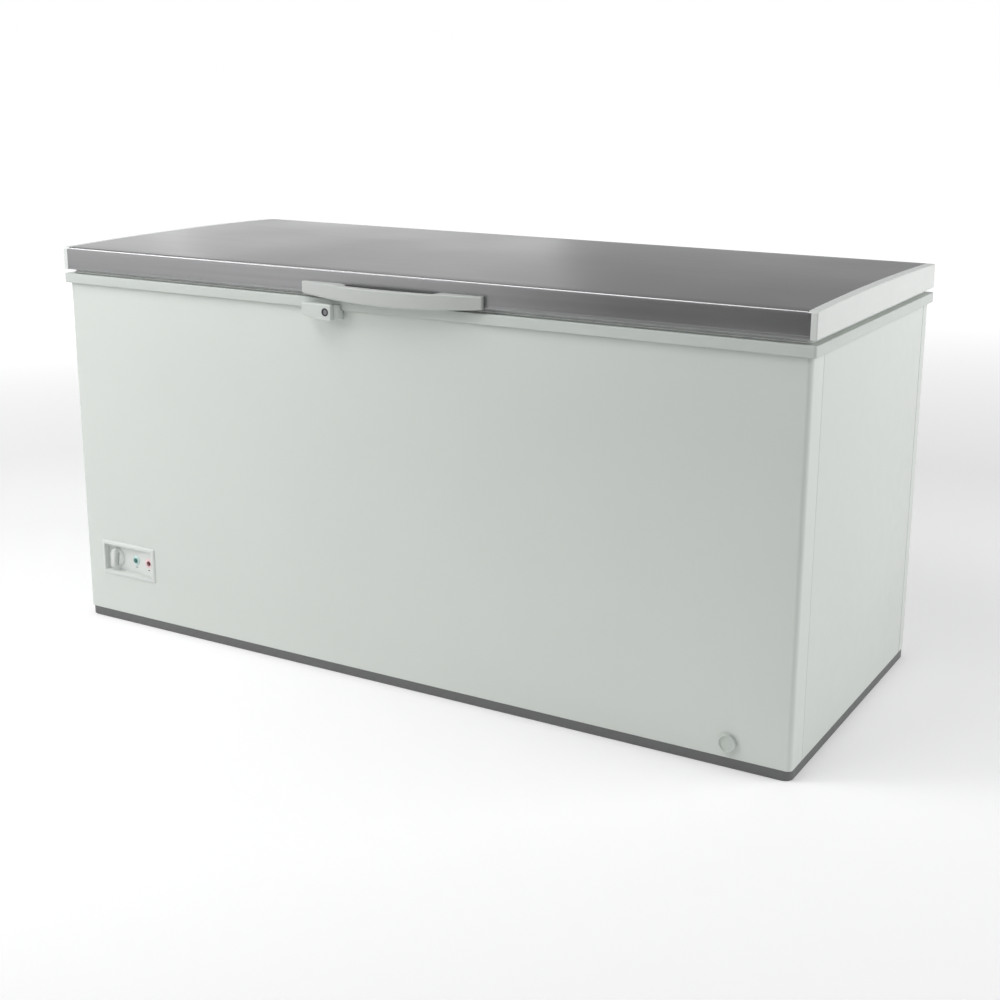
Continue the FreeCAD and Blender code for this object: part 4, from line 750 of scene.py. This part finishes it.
def grip_section(x, low, high, half):
    """The grip's outline as (y, z) at a distance x from its middle."""
    end, thick, rise, dip = 10 * MM, 16 * MM, 8 * MM, 1.8 * MM
    reach = high.y - end - low.y
    bow = (half ** 2 + reach ** 2) / (2 * reach)
    sag = (half ** 2 + rise ** 2) / (2 * rise)
    front = low.y + bow - math.sqrt(bow ** 2 - x * x)
    bottom = low.z + sag - math.sqrt(sag ** 2 - x * x)
    inner = low.y + bow - math.sqrt((bow - thick) ** 2 - min(abs(x), FINGER - FINGER_TURN) ** 2)
    into = (abs(x) - FINGER + FINGER_TURN) / FINGER_TURN
    back = high.y if into > 1 else inner
    if 0 < into <= 1:
        back = inner + FINGER_TURN * (1 - math.sqrt(max(0, 1 - into ** 2)))
    foot = min(1, max(0, (abs(x) - FINGER) / FOOT_FADE))
    top = high.z - dip * (1 - foot * foot * (3 - 2 * foot))
    return softened([(front, bottom, 5.5 * MM), (front, top, 2.2 * MM), (back, top, 1.4 * MM),
                     (back, bottom, 3 * MM)], 6)


def handle():
    """Bowed grip: flat face, full lower edge, and two feet that stand a little above it."""
    low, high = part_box("lid_handle")
    centre, half = (low.x + high.x) / 2, (high.x - low.x) / 2
    soft, cap_steps = 2.4 * MM, 5
    spans = [half - soft - (half - FINGER - FOOT_FADE) * i / 12 for i in range(12)]
    spans += [FINGER + FOOT_FADE * (1 - i / 6) for i in range(6)]
    spans += [FINGER - FINGER_TURN * (1 - math.cos(math.pi / 2 * i / 6)) for i in range(7)]
    spans += [(FINGER - FINGER_TURN) * (1 - i / 20) for i in range(1, 21)]
    places = [-x for x in spans] + spans[-2::-1]
    rings = [grip_section(x, low, high, half) for x in places]
    stack = [placed(ring, centre + x, "x") for ring, x in zip(rings, places)]
    caps = []
    for step in range(cap_steps):
        angle = math.pi / 2 * step / cap_steps
        caps.append((soft * (1 - math.sin(angle)), half - soft * (1 - math.cos(angle))))
    stack = ([placed(inset(rings[0], away), centre - x, "x") for away, x in caps] + stack
             + [placed(inset(rings[-1], away), centre + x, "x") for away, x in caps[::-1]])
    grip = solid("handle_grip", stack)
    keeper_low, keeper_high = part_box("lock_keeper")
    gap, mouth, head_room = 0.2 * MM, 5 * MM, 9.5 * MM
    pocket = brick("hook_pocket", (keeper_low.x - gap, keeper_low.y - gap, low.z - mouth),
                   (keeper_high.x + gap, keeper_high.y + gap, keeper_high.z + head_room))
    show(less(grip, pocket), "lid", HANDLE_SHADED_PLASTIC, ["lid_handle"])


# ---------------------------------------------------------------- lock

def lock():
    low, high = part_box("lock_housing")
    barrel_low, barrel_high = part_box("lock_barrel")
    hook_low, hook_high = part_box("lock_hook")
    key = Vector(((barrel_low.x + barrel_high.x) / 2, 0, (barrel_low.z + barrel_high.z) / 2))
    right, nose = key.x + 13.5 * MM, 14 * MM
    sweep, edge, seat = 30 * MM, 2.5 * MM, 0.4 * MM
    front_outline = softened([
        (low.x, high.z, 3 * MM), (low.x, low.z + 10 * MM, 6 * MM),
        (low.x + 22 * MM, low.z + 3 * MM, sweep), (low.x + 44 * MM, low.z, sweep),
        (right, low.z, 3.5 * MM), (right, high.z, edge)], 6)
    front = slab("lock_front", front_outline, "y", low.y, low.y + nose, 2.2 * MM, 1.2 * MM)
    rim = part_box("rim_frame")[0]
    neck = slab("lock_neck", inset(front_outline, 1.6 * MM), "y", low.y + nose - 1.3 * MM,
                rim.y - 0.2 * MM)
    heel_left, heel_front, collar_front = low.x + 5 * MM, low.y + nose + 2 * MM, rim.y - 12 * MM
    heel = slab("lock_heel", softened([
        (heel_left, high.y - seat, edge), (heel_left, heel_front, 4 * MM),
        (high.x, heel_front, 7 * MM), (high.x, high.y - seat, edge)], 7),
        "z", low.z + 1 * MM, rim.z - seat, 2 * MM, 1 * MM)
    collar = slab("lock_collar", softened([
        (key.x, rim.y - seat, edge), (key.x, collar_front, edge),
        (high.x, collar_front, 6 * MM), (high.x, rim.y - seat, edge)], 8),
        "z", low.z + 2 * MM, high.z - 1 * MM, 2 * MM, 2 * MM)
    body = boolean(front, "UNION", neck, heel, collar)
    bore_front, bore_back, bore_radius = low.y - 5 * MM, high.y + 9 * MM - nose, 6.15 * MM
    bore = rod("key_bore", bore_radius, bore_front, bore_back, "y", key)
    slot = brick("hook_slot", (hook_low.x - 1 * MM, hook_low.y - 0.4 * MM, key.z - 10 * MM),
                 (hook_high.x + 1 * MM, hook_high.y + 0.4 * MM, high.z + 3 * MM))
    show(less(body, bore, slot), "cabinet", TRIM, ["lock_housing"])

    face = low.y
    ring = turned("lock_escutcheon", [
        (4.9 * MM, face + 0.2 * MM), (4.9 * MM, face - 0.4 * MM), (5.6 * MM, face - 0.9 * MM),
        (7.2 * MM, face - 0.9 * MM), (7.9 * MM, face - 0.4 * MM), (7.9 * MM, face + 0.2 * MM)], "y", key,
        hollow=True)
    show(ring, "cabinet", BLACK, ["lock_ring"])

    tip = face + 0.3 * MM
    barrel = turned("key_barrel", [
        (0, tip + 0.5 * MM), (2.9 * MM, tip + 0.5 * MM), (3.3 * MM, tip + 0.1 * MM),
        (4.6 * MM, tip + 0.1 * MM), (5.9 * MM, tip + 0.4 * MM), (5.95 * MM, tip + 0.8 * MM),
        (5.95 * MM, barrel_high.y), (0, barrel_high.y)], "y", key)
    keyway = brick("keyway", (key.x - 0.7 * MM, tip - 2 * MM, key.z - 2.9 * MM),
                   (key.x + 0.7 * MM, tip + 8 * MM, key.z + 2.9 * MM))
    show(less(barrel, keyway), "lock_key", DARK_STEEL, ["lock_barrel"])


# ---------------------------------------------------------------- hinges and screws

def springs():
    wire, radius, coils, around, section = 1.3 * MM, 7 * MM, 9, 22, 10
    for side in ("left", "right"):
        low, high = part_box(f"hinge_spring_{side}")
        middle = (low + high) / 2
        rings = []
        for i in range(coils * around + 1):
            turn = 2 * math.pi * i / around
            z = low.z + wire + (high.z - low.z - 2 * wire) * i / (coils * around)
            out = Vector((math.cos(turn), math.sin(turn), 0))
            rings.append([Vector((middle.x, middle.y, z)) + out * (radius + wire * math.cos(a))
                          + Vector((0, 0, wire * math.sin(a)))
                          for a in (2 * math.pi * k / section for k in range(section))])
        spring = solid(f"spring_{side}", rings)
        spring.data.materials.append(BRIGHT)
        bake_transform(spring)
        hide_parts(f"hinge_spring_{side}")


def screws(node, body):
    """Pan heads with a cross recess, one over each solid of the node."""
    heads, radius, shank, head = [], 4.5 * MM, 2.3 * MM, 2.2 * MM
    long, short, sunk = 2.1 * MM, 0.5 * MM, 1.4 * MM
    for i, (low, high) in enumerate(lumps(node)):
        x, z = (low.x + high.x) / 2, (low.z + high.z) / 2
        seat = high.y - head
        dome = turned(f"{node}_{i}", [(0, low.y), (shank, low.y), (shank, seat), (radius, seat),
                                      (radius, seat + 0.7 * MM), (radius * 0.93, seat + 1.4 * MM),
                                      (radius * 0.72, high.y - 0.15 * MM), (0, high.y)], "y", (x, 0, z), 28)
        arms = [brick(f"{node}_arm_{i}_{k}", (x - a, high.y - sunk, z - b), (x + a, high.y + 1 * MM, z + b))
                for k, (a, b) in enumerate(((long, short), (short, long)))]
        heads.append(less(dome, *arms))
    show(merged(f"{node}_heads", heads), body, BRIGHT, [node])


# ---------------------------------------------------------------- control panel and drain

def control_panel():
    """Recessed panel: deep and flat behind the knob, then rising towards the right."""
    low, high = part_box("control_bezel")
    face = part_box("front_panel")[0].y
    knob = middle_of("thermostat_knob")
    deep, shallow = face + 10 * MM, face + 2 * MM
    back, mouth = 5.6 * MM, 4 * MM
    left, right, slope_start = low.x + 8 * MM, high.x - 11 * MM, knob.x + 28 * MM
    plate = bezel_plate(low, high, face)
    behind = [brick(f"bezel_behind_{i}", a, b) for i, (a, b) in enumerate([
        ((low.x - PAST, face, low.z - PAST), (low.x + back, high.y + PAST, high.z + PAST)),
        ((high.x - back, face, low.z - PAST), (high.x + PAST, high.y + PAST, high.z + PAST)),
        ((low.x, face, low.z - PAST), (high.x, high.y + PAST, low.z + back)),
        ((low.x, face, high.z - back), (high.x, high.y + PAST, high.z + PAST))])]
    recess = slab("bezel_recess", softened([
        (left, low.y - mouth, 0), (left, deep, 1.5 * MM), (slope_start, deep, 8 * MM),
        (right, shallow, 1 * MM), (right, low.y - mouth, 0)], 5),
        "z", low.z + 10 * MM, high.z - 10 * MM)
    border, lip_depth = 1.6 * MM, 1.2 * MM
    lip = slab("bezel_lip", box_outline((left - border, low.z + 8.4 * MM),
                                        (right + border, high.z - 8.4 * MM), 3 * MM),
               "y", low.y - mouth, low.y + lip_depth)
    shaft = rod("shaft_hole", 3.4 * MM, low.y, high.y + PAST, "y", (knob.x, 0, knob.z), 24)
    show(less(plate, *behind, recess, lip, shaft), "cabinet", CAP, ["control_bezel"])

    lamp_z = sum(c.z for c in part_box("lamp_green")) / 2
    for name, glass, collar, slot in (("lamp_green", GREEN, PALE_GREEN, "green_lamp"),
                                      ("lamp_red", RED, PALE_RED, "red_lamp")):
        x = sum(c.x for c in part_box(name)) / 2
        along = (right - x) / (right - slope_start)
        floor_y = shallow + (deep - shallow) * max(0, along)
        lamp(name, (x, 0, lamp_z), floor_y, glass, collar)
    thermostat_knob(knob, face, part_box("thermostat_knob")[1].y)


def lamp(name, at, floor_y, glass, collar):
    """Domed lens in a pale flared collar, with a short mark below it."""
    radius, bulge, steps = 5.6 * MM, 3.2 * MM, 8
    tip, back = (c.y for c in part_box(name))
    dome = [(0, tip)]
    for step in range(1, steps + 1):
        angle = math.pi / 2 * step / steps
        dome.append((radius * math.sin(angle), tip + bulge * (1 - math.cos(angle))))
    dome += [(radius, back), (0, back)]
    show(turned(f"{name}_cover", dome, "y", at), "cabinet", glass, [name])
    inner = radius + 0.1 * MM
    ring = turned(f"{name}_collar", [
        (inner, floor_y + 1 * MM), (inner, tip + 2 * MM), (6.3 * MM, tip + 1.5 * MM),
        (9.6 * MM, floor_y - 0.6 * MM), (11.4 * MM, floor_y), (11.6 * MM, floor_y + 1 * MM)], "y", at,
        hollow=True)
    show(ring, "cabinet", collar)
    x, z = at[0], at[2]
    outline = box_outline((x - 3 * MM, z - 17 * MM), (x + 3 * MM, z - 15.4 * MM), 0.6 * MM)
    mark = slab(f"{name}_mark", outline, "y", floor_y - 0.5 * MM, floor_y + 1 * MM, 0.2 * MM, 0)
    show(mark, "cabinet", glass)


def bezel_plate(low, high, face):
    """Plate whose borders slope down to the panel all round, with a block behind for the recess."""
    corner, least = 4 * MM, 0.8 * MM
    steps = [(0.0, high.y), (0.0, face - 0.3 * MM), (0.3 * MM, face - 1.0 * MM),
             (2.8 * MM, low.y + 0.25 * MM), (3.6 * MM, low.y)]
    return solid("bezel_plate", [
        placed(inset_box(low.xz, high.xz, away, max(corner - away, least)), y, "y")
        for away, y in steps])


def thermostat_knob(centre, face, back):
    """Low domed dial with a grip bar between two finger slots, tilted a little."""
    radius, front, tilt = 22 * MM, face + 4 * MM, math.radians(8)
    disc = turned("knob_disc", [
        (0, front), (13 * MM, front), (15.5 * MM, front + 0.4 * MM), (18.5 * MM, front + 2 * MM),
        (20.8 * MM, front + 4.2 * MM), (radius, face + 9 * MM), (radius, face + 9.6 * MM),
        (0, face + 9.6 * MM)], "y", (0, 0, 0), 72)
    slots, slot_half = [], 14 * MM
    for side in (-1, 1):
        near, far = sorted((side * 6.4 * MM, side * 10.6 * MM))
        outline = box_outline((near, -slot_half), (far, slot_half), 2 * MM)
        slots.append(slab(f"slot_{side}", outline, "y", front - 2 * MM, face + 9.2 * MM, 0, 0.8 * MM))
    dial = less(disc, *slots)
    bar = slab("knob_bar", box_outline((-5.6 * MM, -20.5 * MM), (5.6 * MM, 20.5 * MM), 5 * MM), "y",
               face - 5.4 * MM, front + 3 * MM, 2.2 * MM, 0)
    pointer = slab("knob_pointer", box_outline((-0.8 * MM, 11 * MM), (0.8 * MM, 17.5 * MM), 0.7 * MM),
                   "y", face - 5.8 * MM, face - 5 * MM, 0.2 * MM, 0)
    stem = rod("knob_stem", 2.95 * MM, face + 9 * MM, back, "y", (0, 0, 0), 24)
    whole = merged("knob_dial", [boolean(dial, "UNION", bar), pointer, stem])
    whole.data.transform(Matrix.Translation((centre.x, 0, centre.z)) @ Matrix.Rotation(tilt, 4, "Y"))
    show(whole, "thermostat_knob", CAP, ["thermostat_knob"])


def drain():
    low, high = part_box("drain_collar")
    middle, radius = (low + high) / 2, (high.x - low.x) / 2
    at, face = (middle.x, 0, middle.z), high.y
    collar = turned("drain_flange", [
        (10.2 * MM, face + 0.4 * MM), (10.2 * MM, low.y), (radius - 1.5 * MM, low.y),
        (radius, low.y + 1.3 * MM), (radius, face)], "y", at, 64, hollow=True)
    show(collar, "cabinet", SPIGOT, ["drain_collar"])
    cap_low, cap_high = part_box("drain_cap")
    rim_y, floor = cap_low.y, cap_low.y + 2.4 * MM
    lid_back = low.y - 0.3 * MM
    cap = turned("drain_lid", [
        (0, floor), (radius - 5.2 * MM, floor), (radius - 4.2 * MM, floor - 0.3 * MM),
        (radius - 3.4 * MM, rim_y + 0.5 * MM), (radius - 2.6 * MM, rim_y),
        (radius - 1.4 * MM, rim_y + 0.1 * MM), (radius - 0.3 * MM, rim_y + 0.9 * MM),
        (radius, rim_y + 2 * MM), (radius - 0.1 * MM, lid_back),
        (7.6 * MM, lid_back), (7.4 * MM, cap_high.y), (0, cap_high.y)], "y", at, 64)
    grip = slab("drain_grip", box_outline((middle.x - 10.5 * MM, middle.z - 1.6 * MM),
                                          (middle.x + 10.5 * MM, middle.z + 1.6 * MM), 1.5 * MM),
                "y", floor - 0.5 * MM, floor + 0.4 * MM, 0.4 * MM, 0)
    show(merged("drain_closure", [cap, grip]), "drain_cap", SPIGOT, ["drain_cap"])
    plug()


def plug():
    """Rubber stopper in the tub's floor, with a tab to pull it by."""
    plug_low, plug_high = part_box("drain_plug")
    spot = ((plug_low.x + plug_high.x) / 2, (plug_low.y + plug_high.y) / 2, 0)
    head, floor_z = (plug_high.x - plug_low.x) / 2, plug_high.z - 14 * MM
    stopper = turned("plug_head", [
        (0, plug_low.z), (6.6 * MM, plug_low.z), (7.5 * MM, plug_low.z + 2 * MM),
        (7.5 * MM, floor_z + 0.3 * MM), (head - 0.8 * MM, floor_z + 0.3 * MM),
        (head, floor_z + 1.2 * MM), (head - 1.2 * MM, floor_z + 2.6 * MM),
        (head - 5 * MM, floor_z + 3.5 * MM), (0, floor_z + 3.5 * MM)], "z", spot)
    outline = box_outline((spot[1] - 7 * MM, floor_z + 2 * MM), (spot[1] + 7 * MM, plug_high.z), 3 * MM)
    tab = slab("plug_tab", outline, "x", spot[0] - 1.5 * MM, spot[0] + 1.5 * MM, 0.7 * MM, 0.7 * MM)
    show(merged("sump_plug", [stopper, tab]), "drain_plug", RUBBER, ["drain_plug"])


# ---------------------------------------------------------------- studio

def camera():
    """From the right, a little above the lid."""
    place, yaw, pitch, roll = Vector((1.65108, -2.74943, 1.24033)), -0.5268, 0.25134, 0.0036
    ahead = Vector((math.sin(yaw) * math.cos(pitch), math.cos(yaw) * math.cos(pitch), -math.sin(pitch)))
    right = Vector((math.cos(yaw), -math.sin(yaw), 0))
    up = right.cross(ahead)
    across = right * math.cos(roll) + up * math.sin(roll)
    upright = up * math.cos(roll) - right * math.sin(roll)
    data = bpy.data.cameras.new("camera")
    data.lens, data.sensor_width = 54.97, 36
    data.shift_x, data.shift_y = -0.00473, -0.04772
    view = in_scene("camera", data)
    view.matrix_world = Matrix((
        (across.x, upright.x, -ahead.x, place.x), (across.y, upright.y, -ahead.y, place.y),
        (across.z, upright.z, -ahead.z, place.z), (0, 0, 0, 1)))
    bpy.context.scene.camera = view


def softbox(name, place, target, size, power):
    data = bpy.data.lights.new(name, "AREA")
    data.shape, data.size, data.size_y = "RECTANGLE", size[0], size[1]
    data.energy = power
    light = in_scene(name, data)
    light.location = place
    light.rotation_euler = (Vector(target) - Vector(place)).to_track_quat("-Z", "Y").to_euler()
    light.visible_camera = False


def staged(name, corners, place, look):
    """A flat sheet of the studio, which isn't part of the object."""
    mesh = bpy.data.meshes.new(name)
    mesh.from_pydata(corners, [], [(0, 1, 2, 3)])
    mesh.materials.append(look.material)
    sheet = in_scene(name, mesh)
    sheet.location = place
    return sheet


def paper():
    """Pale floor that glows with distance, so that it runs into the white of the horizon."""
    look, wide = Look("floor_paper", (0.86, 0.86, 0.86), 0.9), 80
    look.vary_colour(look.noise(0.8, 2), 0.004)
    look.bump((look.noise(300, 2), 0.00005))
    look.set("Emission Color", (1, 1, 1, 1))
    away = look.node("VectorMath")
    away.operation = "LENGTH"
    look.link(look.coords, away.inputs["Vector"])
    glow = look.ramp(away.outputs["Value"], 0.20, 0.74, (4, 7.5))
    look.link(glow, look.shader.inputs["Emission Strength"])
    staged("floor", [(-wide, -wide, 0), (wide, -wide, 0), (wide, wide, 0), (-wide, wide, 0)],
           (1, -2, 0), look)


def flag(name, place, size):
    """A dark card out of the picture, which keeps the floor's light off the right of the front."""
    x, z = size[0] / 2, size[1] / 2
    look = Look("card_felt", (0.02, 0.02, 0.02), 0.95)
    look.vary_colour(look.noise(60, 3), 0.1)
    card = staged(name, [(-x, 0, -z), (x, 0, -z), (x, 0, z), (-x, 0, z)], place, look)
    card.visible_camera = False


SOFTBOXES = (
    # name, place, target, size, watts
    ("key", (-2.5, -2.2, 2.0), (-0.9, -0.4, 0.4), (1.2, 1.0), 32),
    ("overhead", (-0.8, -1.4, 2.9), (-0.3, -0.6, 0.6), (2.4, 1.2), 37),
    ("right_fill", (3.2, 0.9, 2.2), (0.8, 0.2, 0.6), (2.0, 1.6), 40),
    ("back_left", (-4.6, 2.6, 1.5), (-0.6, 0, 0.8), (2.2, 2.4), 12.6),
    ("back_middle", (-3.6, 4.6, 1.5), (-0.2, 0, 0.8), (2.4, 2.4), 10.4),
)


def studio():
    scene = bpy.context.scene
    scene.view_settings.view_transform = "Standard"
    scene.world = sky()
    paper()
    for row in SOFTBOXES:
        softbox(*row)
    flag("dark_card", (0.7, -2.2, 0.5), (2.9, 0.8))


def sky():
    """White at the horizon, a paler grey just above it and a darker grey overhead."""
    world = bpy.data.worlds.new("studio")
    world.use_nodes = True
    tree = world.node_tree
    place = tree.nodes.new("ShaderNodeTexCoord")
    split = tree.nodes.new("ShaderNodeSeparateXYZ")
    ramp = tree.nodes.new("ShaderNodeValToRGB")
    tree.links.new(place.outputs["Generated"], split.inputs["Vector"])
    tree.links.new(split.outputs["Z"], ramp.inputs["Fac"])
    near, far = ramp.color_ramp.elements
    near.position, far.position = 0.06, 0.2
    near.color, far.color = (1, 1, 1, 1), (0.34, 0.34, 0.345, 1)
    middle = ramp.color_ramp.elements.new(0.09)
    middle.color = (0.76, 0.76, 0.76, 1)
    backdrop = tree.nodes["Background"]
    tree.links.new(ramp.outputs["Color"], backdrop.inputs["Color"])
    return world


for build in (carry_over, case, plinth, rim, vent, tub, lid, seal, lining, handle, lock, springs):
    build()
screws("lid_screws", "lid")
screws("cabinet_screws", "cabinet")
control_panel()
drain()
camera()
studio()
